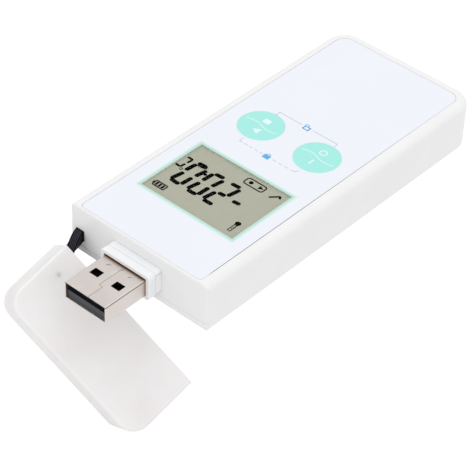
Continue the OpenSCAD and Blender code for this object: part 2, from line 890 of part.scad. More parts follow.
// Strap inside the cap: a neck and an eye, grown by a play of its own
module strap_eye(play) {
    x_low = cap_w / 2 - strap_cover - eye_w;
    z_low = strap_in_z - strap_h / 2 - play;
    translate([strap_in_x - strap_t / 2 - play, -play, z_low])
        cube([strap_t + 2 * play, neck_l + 2 * play, strap_h + 2 * play]);
    translate([x_low - play, neck_l, z_low])
        cube([eye_w + 2 * play, strap_end_l - neck_l + play, strap_h + 2 * play]);
}

module pin_hole(play) {
    translate([cap_w / 2 - pin_side, pin_depth, strap_in_z - strap_h / 2 - pocket_wall])
        cylinder(h = cap_h / 2 - strap_in_z + strap_h / 2 + pocket_wall + play,
                 d = pin_d + 2 * play);
}

module strap_end() {
    color("black") on_cap() difference() {
        strap_eye(0);
        translate([0, 0, -overrun]) pin_hole(running);
    }
}

module strap_pin() {
    color("silver") on_cap() pin_hole(0);
}

module cap() {
    color("whitesmoke", 0.9) on_cap() difference() {
        union() {
            difference() {
                translate([0, 0, -cap_h / 2]) mirror([0, 1, 0])
                    tray(cap_w, cap_d, cap_h, cap_corner_r, cap_edge_r, cap_edge_r);
                translate([0, -overrun, cap_wall - cap_h / 2]) mirror([0, 1, 0])
                    tray(cap_w - 2 * cap_wall, cap_d - cap_wall + overrun,
                         cap_h - 2 * cap_wall, cap_corner_r - cap_wall, 0, 0);
            }
            // pocket of the strap
            translate([cap_w / 2 - strap_cover - eye_w - pocket_wall, 0,
                       strap_in_z - strap_h / 2 - pocket_wall])
                cube([eye_w + pocket_wall + running, strap_end_l + pocket_wall,
                      strap_h + pocket_wall + cap_wall / 2]);
        }
        strap_eye(running);
        translate([0, -overrun, 0]) intersection() {
            strap_eye(running);
            cube([cap_w, 2 * overrun, cap_h], center = true);
        }
        pin_hole(running);
    }
}

front_case();
back_cover();
case_seal();
case_screws();
face_label();
display_window();
front_polariser();
lcd_glass();
lcd_reflector();
lcd_holder();
contact_strips();
start_key();
power_key();
start_switch();
power_switch();
main_board();
controller_chip();
memory_chip();
crystal();
temperature_sensor();
battery_cell();
battery_tab_positive();
battery_tab_negative();
usb_shell();
usb_tongue();
usb_contacts();
usb_collar();
plug_seal();
strap_anchor();
cap_strap();
strap_end();
strap_pin();
cap();
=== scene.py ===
import math

import bpy
from mathutils import Euler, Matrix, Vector


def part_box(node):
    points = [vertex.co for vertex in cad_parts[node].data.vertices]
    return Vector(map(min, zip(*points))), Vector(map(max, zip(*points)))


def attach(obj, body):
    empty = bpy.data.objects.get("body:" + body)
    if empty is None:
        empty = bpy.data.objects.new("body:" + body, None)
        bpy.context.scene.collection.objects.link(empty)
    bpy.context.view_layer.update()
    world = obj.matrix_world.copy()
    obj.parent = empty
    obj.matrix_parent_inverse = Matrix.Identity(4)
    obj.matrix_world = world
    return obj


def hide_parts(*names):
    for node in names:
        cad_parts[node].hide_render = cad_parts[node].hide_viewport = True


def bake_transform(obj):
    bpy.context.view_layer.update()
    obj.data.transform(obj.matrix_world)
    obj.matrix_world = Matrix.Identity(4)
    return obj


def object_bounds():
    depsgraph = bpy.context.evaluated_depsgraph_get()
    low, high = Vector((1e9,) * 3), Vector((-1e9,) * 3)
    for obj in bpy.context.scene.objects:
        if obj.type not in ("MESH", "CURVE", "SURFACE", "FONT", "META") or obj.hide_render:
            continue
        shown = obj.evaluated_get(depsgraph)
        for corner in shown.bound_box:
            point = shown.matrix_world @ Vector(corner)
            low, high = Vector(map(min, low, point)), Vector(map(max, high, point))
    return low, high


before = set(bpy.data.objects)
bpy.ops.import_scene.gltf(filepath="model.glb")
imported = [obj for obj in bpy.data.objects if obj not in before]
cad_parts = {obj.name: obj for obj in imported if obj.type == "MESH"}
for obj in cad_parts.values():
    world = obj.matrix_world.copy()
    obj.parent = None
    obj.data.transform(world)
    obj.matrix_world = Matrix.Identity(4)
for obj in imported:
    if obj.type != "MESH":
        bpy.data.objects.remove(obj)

cad_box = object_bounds()


# The camera stands where the photograph was taken from: above the plug end, on the
# side of the power key, with a long lens. The picture is taken as 470 by 470 pixels.
CAMERA_PLACE = (-0.236666, 0.294073, 0.306714)
CAMERA_TURN = (49.6419, -1.9447, -138.1139)
CAMERA_LENS = 164.52
CAMERA_SENSOR = 36
CAMERA_NEAR = 0.01
camera = bpy.data.objects.new("camera", bpy.data.cameras.new("camera"))
camera.location = CAMERA_PLACE
camera.rotation_euler = Euler([math.radians(a) for a in CAMERA_TURN])
camera.data.lens = CAMERA_LENS
camera.data.sensor_width = CAMERA_SENSOR
camera.data.clip_start = CAMERA_NEAR
bpy.context.scene.collection.objects.link(camera)
bpy.context.scene.camera = camera


# Light of a white studio: the room gives an even light, and three large soft panels
# stand above, beside the power key and beyond the plug. Each has a place, a side in
# metres and a power in watts.
ROOM_LIGHT = 0.9
ROOM_SEEN = 1.0
WHITE = (1, 1, 1, 1)
PANELS = {
    "panel_above": ((0.05, -0.05, 0.9), 0.9, 1.35),
    "panel_side": ((-0.9, -0.2, 0.5), 0.7, 0.55),
    "panel_plug": ((-0.15, 0.95, 0.45), 0.6, 0.7),
}


def seen_rays(nodes, links):
    """1 for rays from the camera, from a reflection or through glass, and 0 for light."""
    rays = nodes.new("ShaderNodeLightPath")
    seen = rays.outputs["Is Camera Ray"]
    for kind in ("Is Glossy Ray", "Is Transmission Ray"):
        either = nodes.new("ShaderNodeMath")
        either.operation = "MAXIMUM"
        links.new(seen, either.inputs[0])
        links.new(rays.outputs[kind], either.inputs[1])
        seen = either.outputs[0]
    return seen


scene = bpy.context.scene
scene.view_settings.view_transform = "Standard"
world = bpy.data.worlds.new("studio")
scene.world = world
world.use_nodes = True
world_nodes, world_links = world.node_tree.nodes, world.node_tree.links
world_nodes.clear()
room = world_nodes.new("ShaderNodeBackground")
room.inputs["Color"].default_value = WHITE
room.inputs["Strength"].default_value = ROOM_LIGHT
white = world_nodes.new("ShaderNodeBackground")
white.inputs["Color"].default_value = WHITE
white.inputs["Strength"].default_value = ROOM_SEEN
world_mix = world_nodes.new("ShaderNodeMixShader")
world_links.new(seen_rays(world_nodes, world_links), world_mix.inputs[0])
world_links.new(room.outputs[0], world_mix.inputs[1])
world_links.new(white.outputs[0], world_mix.inputs[2])
world_out = world_nodes.new("ShaderNodeOutputWorld")
world_links.new(world_mix.outputs[0], world_out.inputs["Surface"])
for name, (place, side, power) in PANELS.items():
    panel = bpy.data.objects.new(name, bpy.data.lights.new(name, "AREA"))
    panel.data.shape = "SQUARE"
    panel.data.size = side
    panel.data.energy = power
    panel.location = place
    panel.rotation_euler = (-Vector(place)).to_track_quat("-Z", "Y").to_euler()
    scene.collection.objects.link(panel)


# The floor is a white sheet under the lowest corner of the hanging cap. The camera
# and reflections see it near white, and it keeps a faint shadow.
FLOOR_SIDE = 6.0
FLOOR_MATT = (0.85, 0.85, 0.85, 1)
FLOOR_SHADED = (0.3, 0.3, 0.3, 1)
FLOOR_GLOW = 0.78
bpy.ops.object.select_all(action="DESELECT")
bpy.ops.mesh.primitive_plane_add(size=FLOOR_SIDE, location=(0, 0, cad_box[0].z))
floor = bpy.context.object
floor.name = "floor"
floor_material = bpy.data.materials.new("floor_white")
floor_material.use_nodes = True
floor_nodes, floor_links = floor_material.node_tree.nodes, floor_material.node_tree.links
floor_nodes.clear()
matt = floor_nodes.new("ShaderNodeBsdfDiffuse")
matt.inputs["Color"].default_value = FLOOR_MATT
lit = floor_nodes.new("ShaderNodeBsdfDiffuse")
lit.inputs["Color"].default_value = FLOOR_SHADED
glow = floor_nodes.new("ShaderNodeEmission")
glow.inputs["Strength"].default_value = FLOOR_GLOW
shown = floor_nodes.new("ShaderNodeAddShader")
floor_links.new(lit.outputs[0], shown.inputs[0])
floor_links.new(glow.outputs[0], shown.inputs[1])
floor_mix = floor_nodes.new("ShaderNodeMixShader")
floor_links.new(seen_rays(floor_nodes, floor_links), floor_mix.inputs[0])
floor_links.new(matt.outputs[0], floor_mix.inputs[1])
floor_links.new(shown.outputs[0], floor_mix.inputs[2])
floor_out = floor_nodes.new("ShaderNodeOutputMaterial")
floor_links.new(floor_mix.outputs[0], floor_out.inputs["Surface"])
floor.data.materials.append(floor_material)


# The front case is the deep white half of the body, moulded in ABS with a fine matt
# grain. It is the drawn solid with its sharp edges broken, as the mould leaves them.
MM = 0.001
CASE_WHITE = (0.856, 0.856, 0.856)
CASE_ROUGH = 0.42
CASE_EDGE = 0.12 * MM
MERGE = 0.002 * MM
SAME_PLANE = math.radians(0.5)


def pick(piece):
    """Makes the piece the active one, and the only one selected."""
    bpy.ops.object.select_all(action="DESELECT")
    piece.select_set(True)
    bpy.context.view_layer.objects.active = piece


def cad_copy(node, name):
    """A copy of a drawn node, with its loose triangles merged into whole faces."""
    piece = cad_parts[node].copy()
    piece.data = piece.data.copy()
    piece.name = name
    for key in list(piece.keys()):
        if key.startswith("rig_"):
            del piece[key]
    piece.parent = None
    scene.collection.objects.link(piece)
    pick(piece)
    bpy.ops.object.mode_set(mode="EDIT")
    bpy.ops.mesh.select_all(action="SELECT")
    bpy.ops.mesh.remove_doubles(threshold=MERGE)
    bpy.ops.mesh.dissolve_limited(angle_limit=SAME_PLANE)
    bpy.ops.object.mode_set(mode="OBJECT")
    piece.data.materials.clear()
    return piece


def use_modifiers(piece):
    """Applies every modifier of the piece, in their order."""
    pick(piece)
    for modifier in list(piece.modifiers):
        bpy.ops.object.modifier_apply(modifier=modifier.name)


def smooth(piece, angle=30):
    """Shades the piece smooth up to the angle, and keeps its large flat faces flat."""
    pick(piece)
    bpy.ops.object.shade_smooth_by_angle(angle=math.radians(angle))
    weighted = piece.modifiers.new("flat", "WEIGHTED_NORMAL")
    weighted.keep_sharp = True
    use_modifiers(piece)


def break_edges(piece, width, segments=2, angle=40):
    """Rounds the edges that are sharper than the angle, and shades the rest smooth."""
    bevel = piece.modifiers.new("edges", "BEVEL")
    bevel.width = width
    bevel.segments = segments
    bevel.limit_method = "ANGLE"
    bevel.angle_limit = math.radians(angle)
    bevel.use_clamp_overlap = True
    use_modifiers(piece)
    smooth(piece)


def new_material(name):
    """A material with its shader and the coordinates of the object."""
    made = bpy.data.materials.new(name)
    made.use_nodes = True
    shader = made.node_tree.nodes["Principled BSDF"]
    place = made.node_tree.nodes.new("ShaderNodeTexCoord")
    return made, shader, place.outputs["Object"]


def grain(made, place, size, detail, stretch=(1, 1, 1)):
    """A noise whose spots have the given size in metres, drawn out by stretch."""
    nodes, links = made.node_tree.nodes, made.node_tree.links
    spread = nodes.new("ShaderNodeMapping")
    spread.inputs["Scale"].default_value = stretch
    links.new(place, spread.inputs["Vector"])
    noise = nodes.new("ShaderNodeTexNoise")
    noise.inputs["Scale"].default_value = 1 / size
    noise.inputs["Detail"].default_value = detail
    links.new(spread.outputs[0], noise.inputs["Vector"])
    return noise.outputs["Fac"]


def tint(made, shader, value, dark, light):
    """Colours the surface between two colours, as the value goes from 0.3 to 0.7."""
    nodes, links = made.node_tree.nodes, made.node_tree.links
    ramp = nodes.new("ShaderNodeValToRGB")
    ramp.color_ramp.elements[0].position = 0.3
    ramp.color_ramp.elements[0].color = (*dark, 1)
    ramp.color_ramp.elements[1].position = 0.7
    ramp.color_ramp.elements[1].color = (*light, 1)
    links.new(value, ramp.inputs[0])
    links.new(ramp.outputs[0], shader.inputs["Base Color"])


def wear(made, shader, value, low, high):
    """Varies the roughness between two values."""
    nodes, links = made.node_tree.nodes, made.node_tree.links
    spread = nodes.new("ShaderNodeMapRange")
    spread.inputs["To Min"].default_value = low
    spread.inputs["To Max"].default_value = high
    links.new(value, spread.inputs["Value"])
    links.new(spread.outputs[0], shader.inputs["Roughness"])


def emboss(made, shader, value, height, strength):
    """Raises the surface by a value, up to the given height in metres."""
    nodes, links = made.node_tree.nodes, made.node_tree.links
    bump = nodes.new("ShaderNodeBump")
    bump.inputs["Strength"].default_value = strength
    bump.inputs["Distance"].default_value = height
    links.new(value, bump.inputs["Height"])
    links.new(bump.outputs[0], shader.inputs["Normal"])


def shade(colour, share):
    """The colour, made darker or lighter by a share."""
    return tuple(min(1.0, c * share) for c in colour)


def moulded(name, colour, rough, spot=0.35 * MM, depth=0.012 * MM):
    """Moulded plastic: fine eroded grain, faint clouds in colour and gloss."""
    made, shader, place = new_material(name)
    clouds = grain(made, place, 9 * MM, 3.0)
    tint(made, shader, clouds, shade(colour, 0.975), colour)
    wear(made, shader, grain(made, place, 3 * MM, 4.0), rough - 0.06, rough + 0.06)
    emboss(made, shader, grain(made, place, spot, 3.0), depth, 0.5)
    return made


def dress(piece, made, body, slot, *nodes):
    """Gives a piece its material, its body and the drawn nodes that it stands for."""
    piece.data.materials.clear()
    piece.data.materials.append(made)
    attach(piece, body)
    if nodes:
        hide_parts(*nodes)
    return piece


def prism(points, near_end, far_end):
    """A solid with the outline of the points, in mm across and up, between two lengths."""
    bpy.ops.object.select_all(action="DESELECT")
    bpy.ops.mesh.primitive_circle_add(vertices=len(points), fill_type="NGON")
    piece = bpy.context.object
    bpy.ops.object.mode_set(mode="EDIT")
    bpy.ops.mesh.extrude_region_move(TRANSFORM_OT_translate={"value": (0, 0, 1)})
    bpy.ops.object.mode_set(mode="OBJECT")
    rings = {0: [], 1: []}
    for vertex in piece.data.vertices:
        rings[round(vertex.co.z)].append(vertex)
    for ring, y in ((rings[0], near_end), (rings[1], far_end)):
        ring.sort(key=lambda v: math.atan2(v.co.y, v.co.x))
        for vertex, (x, z) in zip(ring, points):
            vertex.co = Vector((x, y, z)) * MM
    bpy.ops.object.mode_set(mode="EDIT")
    bpy.ops.mesh.select_all(action="SELECT")
    bpy.ops.mesh.normals_make_consistent(inside=False)
    bpy.ops.object.mode_set(mode="OBJECT")
    return piece


def carve(piece, cutters):
    """Cuts the cutters out of the piece, one by one, and removes them."""
    for cutter in cutters:
        cut = piece.modifiers.new("cut", "BOOLEAN")
        cut.operation = "DIFFERENCE"
        cut.solver = "EXACT"
        cut.object = cutter
        use_modifiers(piece)
        bpy.data.objects.remove(cutter)


CORNER_X, CORNER_Z = 14.9, 3.0
CORNER_CUT = 0.9
CUT_X, CUT_Z = 16.0, 2.0
CUT_NEAR, CUT_FAR = 44.6, 46.2


def corner_curve(radius):
    """The rounded lower corner of the strap's slot, from the joint up to its wall."""
    turns = [math.radians(a) for a in (0, 22, 45, 68, 90)]
    return [(CORNER_X + radius * math.sin(a), CORNER_Z - radius * math.cos(a)) for a in turns]


case_white = moulded("case_white", CASE_WHITE, CASE_ROUGH)
front_case = cad_copy("front_case", "case_front")
break_edges(front_case, CASE_EDGE)
corner = corner_curve(CORNER_CUT) + [(CUT_X, CORNER_Z), (CUT_X, CUT_Z), (CORNER_X, CUT_Z)]
carve(front_case, [prism(corner, CUT_NEAR, CUT_FAR)])
smooth(front_case)
dress(front_case, case_white, "root", "case_white", "front_case")


# The back cover is the shallow white half, in the same plastic. Its broken edge and the
# front case's leave the fine joint line, and a slice of painted shade lies in it, darkest
# by the strap and fading away from it. A sill of the cover fills the strap's slot below
# the strap.
SILL_ROUND = 1.0
SILL_TOP, SILL_FOOT = 3.55, 1.9
SILL_END = 18.25
SILL_NEAR, SILL_FAR = 44.9, 45.97
LINE_LOW, LINE_HIGH = 0.11 * MM, 0.01 * MM
LINE_FROM = 45 * MM
LINE_INSET = (0.9995, 0.9998, 1)
LINE_DARK_X, LINE_PALE_X = 14.5 * MM, 2 * MM
LINE_DARK, LINE_PALE = (0.10, 0.095, 0.095), (0.62, 0.61, 0.61)


def join(pieces, name):
    """Joins the pieces into one, under the name."""
    bpy.ops.object.select_all(action="DESELECT")
    for piece in pieces:
        piece.select_set(True)
    bpy.context.view_layer.objects.active = pieces[0]
    bpy.ops.object.join()
    pieces[0].name = name
    return pieces[0]


def along(made, place, axis, start, end):
    """A value that goes from 0 to 1 along an axis, between two lengths."""
    nodes, links = made.node_tree.nodes, made.node_tree.links
    parts = nodes.new("ShaderNodeSeparateXYZ")
    links.new(place, parts.inputs[0])
    spread = nodes.new("ShaderNodeMapRange")
    spread.inputs["From Min"].default_value = start
    spread.inputs["From Max"].default_value = end
    links.new(parts.outputs[axis], spread.inputs["Value"])
    return spread.outputs[0]


back_cover = cad_copy("back_cover", "case_back")
break_edges(back_cover, CASE_EDGE)
joint_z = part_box("front_case")[0].z
sill = corner_curve(SILL_ROUND) + [(CORNER_X + SILL_ROUND, SILL_TOP), (SILL_END, SILL_TOP),
                                   (SILL_END, SILL_FOOT), (CORNER_X, SILL_FOOT)]
join([back_cover, prism(sill, SILL_NEAR, SILL_FAR)], "case_back")
smooth(back_cover)
# A thin slice of the cover, set just inside the joint, carries the joint line's painted shade:
# dark by the strap, pale grey away from it.
joint_line = cad_copy("back_cover", "joint_shadow")
dress(back_cover, case_white, "root", "case_white", "back_cover")
bpy.ops.object.mode_set(mode="EDIT")
for place, way, outer in (((0, 0, joint_z - LINE_LOW), (0, 0, 1), False),
                          ((0, 0, joint_z - LINE_HIGH), (0, 0, 1), True),
                          ((0, LINE_FROM, 0), (0, 1, 0), False)):
    bpy.ops.mesh.select_all(action="SELECT")
    bpy.ops.mesh.bisect(plane_co=place, plane_no=way, use_fill=True,
                        clear_inner=not outer, clear_outer=outer)
bpy.ops.mesh.select_all(action="SELECT")
bpy.ops.transform.resize(value=LINE_INSET, center_override=(0, 0, 0))
bpy.ops.object.mode_set(mode="OBJECT")
joint_painted_shade, joint_shader, joint_place = new_material("joint_painted_shade")
tint(joint_painted_shade, joint_shader, along(joint_painted_shade, joint_place, 0, LINE_DARK_X, LINE_PALE_X),
     LINE_DARK, LINE_PALE)
wear(joint_painted_shade, joint_shader, grain(joint_painted_shade, joint_place, 2 * MM, 2.0), 0.6, 0.7)
dress(joint_line, joint_painted_shade, "root", "case_white")


# The face label is a thin printed film let into the front. Its white is cold and half
# gloss, and it is cut out round the display and the two keys. The narrow gap round it
# holds painted shade, darkest along the side of the power key and pale grey elsewhere.
FILM_DEPTH = 0.2 * MM
PRINT_RISE = 0.02 * MM
FILM_EDGE = 0.01 * MM
FILM_WHITE = (0.825, 0.845, 0.912)
LABEL_LINE = 0.11 * MM
LABEL_CORNER = 1.2 * MM
EDGE_DARK, EDGE_PALE = (0.12, 0.12, 0.13), (0.72, 0.71, 0.75)
EDGE_FADE_X = (0.5 * MM, 3 * MM)
EDGE_FADES_Y = ((50 * MM, -70 * MM), (40 * MM, 44.5 * MM))


def film(name, colour, rough=0.3):
    """Printed plastic film: even colour, faint ripple and small changes of gloss."""
    made, shader, place = new_material(name)
    tint(made, shader, grain(made, place, 14 * MM, 2.0), shade(colour, 0.985), colour)
    wear(made, shader, grain(made, place, 5 * MM, 3.0), rough - 0.04, rough + 0.05)
    emboss(made, shader, grain(made, place, 6 * MM, 1.0), 0.004 * MM, 0.4)
    shader.inputs["Coat Weight"].default_value = 0.15
    shader.inputs["Coat Roughness"].default_value = 0.2
    return made


film_white = film("film_white", FILM_WHITE)
film_low, film_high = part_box("face_label")
film_top = film_high.z
print_top = film_top - PRINT_RISE
face_label = cad_copy("face_label", "label_film")
label_gap_shade = cad_copy("face_label", "label_gap_shade")
for vertex in face_label.data.vertices:
    if vertex.co.z > film_top - FILM_DEPTH / 2:
        vertex.co.z -= PRINT_RISE
    for axis in (0, 1):
        middle = (film_low[axis] + film_high[axis]) / 2
        half = (film_high[axis] - film_low[axis]) / 2
        if abs(vertex.co[axis] - middle) > half - LABEL_CORNER:
            vertex.co[axis] -= math.copysign(LABEL_LINE, vertex.co[axis] - middle)
break_edges(face_label, FILM_EDGE, 1)
dress(face_label, film_white, "root", "label_film", "face_label")
for vertex in label_gap_shade.data.vertices:
    if vertex.co.z > film_top - FILM_DEPTH / 2:
        vertex.co.z -= 2 * PRINT_RISE
# The copy under the film's edge is painted shade in the gap: dark along the power key's side,
# fading to pale grey elsewhere.
edge_grey, edge_shader, edge_place = new_material("label_gap_shade")
faint = along(edge_grey, edge_place, 0, *(film_low.x + away for away in EDGE_FADE_X))
for start, end in EDGE_FADES_Y:
    more = edge_grey.node_tree.nodes.new("ShaderNodeMath")
    more.operation = "MAXIMUM"
    edge_grey.node_tree.links.new(faint, more.inputs[0])
    edge_grey.node_tree.links.new(along(edge_grey, edge_place, 1, start, end), more.inputs[1])
    faint = more.outputs[0]
tint(edge_grey, edge_shader, faint, EDGE_DARK, EDGE_PALE)
wear(edge_grey, edge_shader, grain(edge_grey, edge_place, 2 * MM, 2.0), 0.5, 0.7)
dress(label_gap_shade, edge_grey, "root", "label_film")


# The fine line prints of the label: a mint frame round the display, a pale rim round
# each key, and two brackets, one with an open and one with a shut padlock, that tie the
# keys together. All are inks on the film, a hair thick. The display's window is lined
# with a wall of painted shade, in pale olive, from the display up to the film.
PRINT_LOW = print_top - 0.01 * MM
PRINT_HIGH = film_top - 0.005 * MM
HAIR = 0.001 * MM
LINE_GREY = (0.45, 0.45, 0.60)
ICON_BLUE = (0.09, 0.42, 0.74)


def ink(name, colour, rough=0.35):
    """Printed ink: even, with a faint screen of lighter and darker spots."""
    made, shader, place = new_material(name)
    tint(made, shader, grain(made, place, 0.25 * MM, 2.0), shade(colour, 0.94), colour)
    wear(made, shader, grain(made, place, 2 * MM, 2.0), rough - 0.05, rough + 0.05)
    return made


def bar(start, end, width, low, high):
    """A flat bar from one point to another, in mm, lying between two heights."""
    a, b = Vector((*start, 0)) * MM, Vector((*end, 0)) * MM
    middle = (a + b) / 2
    way = b - a
    bpy.ops.object.select_all(action="DESELECT")
    bpy.ops.mesh.primitive_cube_add(size=1, location=(middle.x, middle.y, (low + high) / 2),
                                    rotation=(0, 0, math.atan2(way.y, way.x)),
                                    scale=(way.length, width * MM, high - low))
    bpy.ops.object.transform_apply(location=True, rotation=True, scale=True)
    return bpy.context.object


def arc(centre, radius, width, low, high, start, turn, steps):
    """A flat bar bent round a centre, from the start through the turn, in degrees."""
    first = math.radians(start)
    x = (centre[0] + radius * math.cos(first)) * MM
    y = (centre[1] + radius * math.sin(first)) * MM
    bpy.ops.object.select_all(action="DESELECT")
    bpy.ops.mesh.primitive_plane_add(size=1, location=(x, y, (low + high) / 2),
                                     rotation=(math.pi / 2, 0, first))
    piece = bpy.context.object
    piece.scale = (width * MM, high - low, 1)
    bpy.ops.object.transform_apply(location=True, rotation=True, scale=True)
    bpy.ops.object.mode_set(mode="EDIT")
    bpy.ops.mesh.select_all(action="SELECT")
    bpy.ops.mesh.spin(steps=steps, angle=-math.radians(turn), axis=(0, 0, 1),
                      center=(centre[0] * MM, centre[1] * MM, (low + high) / 2))
    bpy.ops.mesh.select_all(action="SELECT")
    bpy.ops.mesh.remove_doubles(threshold=HAIR)
    if abs(turn) >= 360:
        bpy.ops.mesh.select_all(action="DESELECT")
        bpy.ops.mesh.select_interior_faces()
        bpy.ops.mesh.delete(type="FACE")
    bpy.ops.mesh.select_all(action="SELECT")
    bpy.ops.mesh.normals_make_consistent(inside=False)
    bpy.ops.object.mode_set(mode="OBJECT")
    return piece


PANE_PLAY = 0.15
VIEW_INSET, VIEW_WIDTH, VIEW_SUNK = -0.1, 0.06, 0.02 * MM
FRAME_WIDTH, FRAME_OUTER = 0.45, 0.4
pane_low, pane_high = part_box("front_polariser")
left, right = pane_low.x / MM - PANE_PLAY, pane_high.x / MM + PANE_PLAY
near, far = pane_high.y / MM + PANE_PLAY, pane_low.y / MM - PANE_PLAY


def border(name, inset, width, colour, low):
    """A border round the display, from the inset outwards and from the low height up to the film's
    top; the prints use it, and so does the window's lining of painted shade.
    """
    x0, x1, y0, y1 = left - inset, right + inset, far - inset, near + inset
    half = width / 2
    bars = [
        bar((x0 - width, y1 + half), (x1 + width, y1 + half), width, low, PRINT_HIGH),
        bar((x0 - width, y0 - half), (x1 + width, y0 - half), width, low, PRINT_HIGH),
        bar((x0 - half, y0), (x0 - half, y1), width, low, PRINT_HIGH),
        bar((x1 + half, y0), (x1 + half, y1), width, low, PRINT_HIGH),
    ]
    dress(join(bars, name), ink(name + "_ink", colour), "root", "label_film")


# The first border is no print: it lines the window's wall from the display up to the film, in a
# pale olive that is painted shade, standing in for the white wall seen in shadow.
border("view_wall_shade", VIEW_INSET, VIEW_WIDTH, (0.64, 0.69, 0.6), pane_high.z - VIEW_SUNK)
border("mint_frame", 0, FRAME_WIDTH, (0.487, 0.74, 0.65), PRINT_LOW)
border("mint_frame_edge", FRAME_WIDTH, FRAME_OUTER, (0.62, 0.85, 0.805), PRINT_LOW)

LINK_WIDTH = 0.14
solid_way = [[(8.41, -8.23), (8.6, -9.6), (1.95, -9.6)],
             [(-1.26, -9.6), (-8.45, -9.65), (-8.57, -8.64)]]
dashed_way = [[(8.18, 3.28), (8.12, 4.65), (1.25, 4.65)],
              [(-1.62, 4.65), (-7.9, 4.6), (-8.46, 3.52)]]
DASH = 0.95
DASH_GAP = 0.62
lines = []
for way in solid_way:
    for a, b in zip(way, way[1:]):
        lines.append(bar(a, b, LINK_WIDTH, PRINT_LOW, PRINT_HIGH))
for way in dashed_way:
    for a, b in zip(way, way[1:]):
        a, b = Vector(a), Vector(b)
        length = (b - a).length
        count = max(1, round((length + DASH_GAP) / (DASH + DASH_GAP)))
        step = (length + DASH_GAP) / count
        for i in range(count):
            from_, to = i * step / length, (i * step + step - DASH_GAP) / length
            lines.append(bar(a.lerp(b, from_), a.lerp(b, to), LINK_WIDTH, PRINT_LOW, PRINT_HIGH))
dress(join(lines, "link_lines"), ink("ink_grey", LINE_GREY), "root", "label_film")

KEY_RADIUS = 5.3
KEY_RIM = 0.22
RIM_AWAY = 0.11
rims = []
for node in ("start_key", "power_key"):
    low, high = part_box(node)
    middle = ((low.x + high.x) / 2 / MM, (low.y + high.y) / 2 / MM)
    rims.append(arc(middle, KEY_RADIUS + RIM_AWAY + KEY_RIM / 2, KEY_RIM, PRINT_LOW, PRINT_HIGH,
                    0, 360, 64))
dress(join(rims, "key_rims"), ink("key_rims_ink", (0.68, 0.86, 0.86)), "root", "label_film")

lock_open = [
    bar((0.3, -9.97), (0.3, -9.64), 1.75, PRINT_LOW, PRINT_HIGH),
    bar((0.3, -8.91), (0.3, -8.58), 1.75, PRINT_LOW, PRINT_HIGH),
    bar((-0.42, -9.75), (-0.42, -8.8), 0.33, PRINT_LOW, PRINT_HIGH),
    bar((1.02, -9.75), (1.02, -8.8), 0.33, PRINT_LOW, PRINT_HIGH),
    arc((0.75, -10.0), 0.5, 0.2, PRINT_LOW, PRINT_HIGH, 180, 180, 12),
]
lock_shut = [
    bar((0.0, 4.15), (0.0, 5.5), 1.75, PRINT_LOW, PRINT_HIGH),
    arc((0.0, 4.2), 0.5, 0.2, PRINT_LOW, PRINT_HIGH, 180, 180, 12),
]
dress(join(lock_open + lock_shut, "padlocks"), ink("ink_blue", ICON_BLUE), "root",
      "label_film")


# The display's front is a grey olive polariser. The digits and signs are the dark
# segments of the liquid crystal, and lean a little as on most such displays.
OLIVE = (0.475, 0.48, 0.375)
DIGIT_BLACK = (0.001, 0.001, 0.001)
PANE_UNDER = 0.75
olive, olive_shader, olive_place = new_material("display_olive")
tint(olive, olive_shader, grain(olive, olive_place, 0.3 * MM, 3.0), shade(OLIVE, 0.93), OLIVE)
wear(olive, olive_shader, grain(olive, olive_place, 4 * MM, 2.0), 0.3, 0.42)
polariser = cad_copy("front_polariser", "display_front")
for vertex in polariser.data.vertices:
    vertex.co.x += math.copysign(PANE_UNDER * MM, vertex.co.x)
    vertex.co.y += math.copysign(PANE_UNDER * MM, vertex.co.y - (near + far) / 2 * MM)
dress(polariser, olive, "root", "display_olive", "front_polariser")

DIGIT_LOW = pane_high.z - 0.01 * MM
DIGIT_HIGH = pane_high.z + 0.012 * MM
STROKE = 1.12
SMALL_STROKE = 0.62
MITRE = 0.32
REACH_OUT = 0.12
segments = [
    ((9.22, 16.91), (6.97, 16.79)), ((10.15, 24.89), (7.67, 25.02)),
    ((6.34, 17.48), (6.9, 20.47)), ((7.04, 21.49), (7.26, 24.62)),
    ((9.55, 17.34), (9.89, 20.37)), ((9.65, 21.32), (10.24, 24.62)),
    ((4.22, 16.89), (1.91, 16.69)), ((4.92, 25.12), (2.55, 25.07)),
    ((1.38, 17.45), (1.94, 20.59)), ((2.09, 21.45), (2.19, 24.72)),
    ((4.6, 17.26), (4.76, 20.39)), ((4.71, 21.47), (5.29, 24.72)),
    ((-0.55, 16.85), (-2.87, 16.76)), ((0.23, 25.16), (-2.22, 25.16)),
    ((-0.58, 21.16), (-2.34, 21.06)), ((0.03, 21.5), (0.57, 24.79)),
    ((-3.35, 17.3), (-2.75, 20.66)), ((-4.71, 21.14), (-6.58, 21.02)),
]


def disc(centre, radius, low, high):
    """A flat disc between two heights."""
    place = (centre[0] * MM, centre[1] * MM, (low + high) / 2)
    bpy.ops.object.select_all(action="DESELECT")
    bpy.ops.mesh.primitive_cylinder_add(vertices=24, radius=radius * MM, depth=high - low,
                                        location=place)
    bpy.ops.object.transform_apply(location=True, rotation=True, scale=True)
    return bpy.context.object


def segment(start, end, width):
    """One stroke of a digit, with its four corners cut."""
    a, b = Vector(start), Vector(end)
    longer = (b - a).normalized() * REACH_OUT
    piece = bar(a - longer, b + longer, width, DIGIT_LOW, DIGIT_HIGH)
    bpy.ops.object.mode_set(mode="EDIT")
    bpy.ops.mesh.select_all(action="DESELECT")
    bpy.ops.object.mode_set(mode="OBJECT")
    for edge in piece.data.edges:
        a, b = (piece.data.vertices[v].co for v in edge.vertices)
        edge.select = abs(a.z - b.z) > HAIR
    bpy.ops.object.mode_set(mode="EDIT")
    bpy.ops.mesh.select_mode(type="EDGE")
    bpy.ops.mesh.bevel(offset=MITRE * width / STROKE * MM, segments=1)
    bpy.ops.object.mode_set(mode="OBJECT")
    return piece


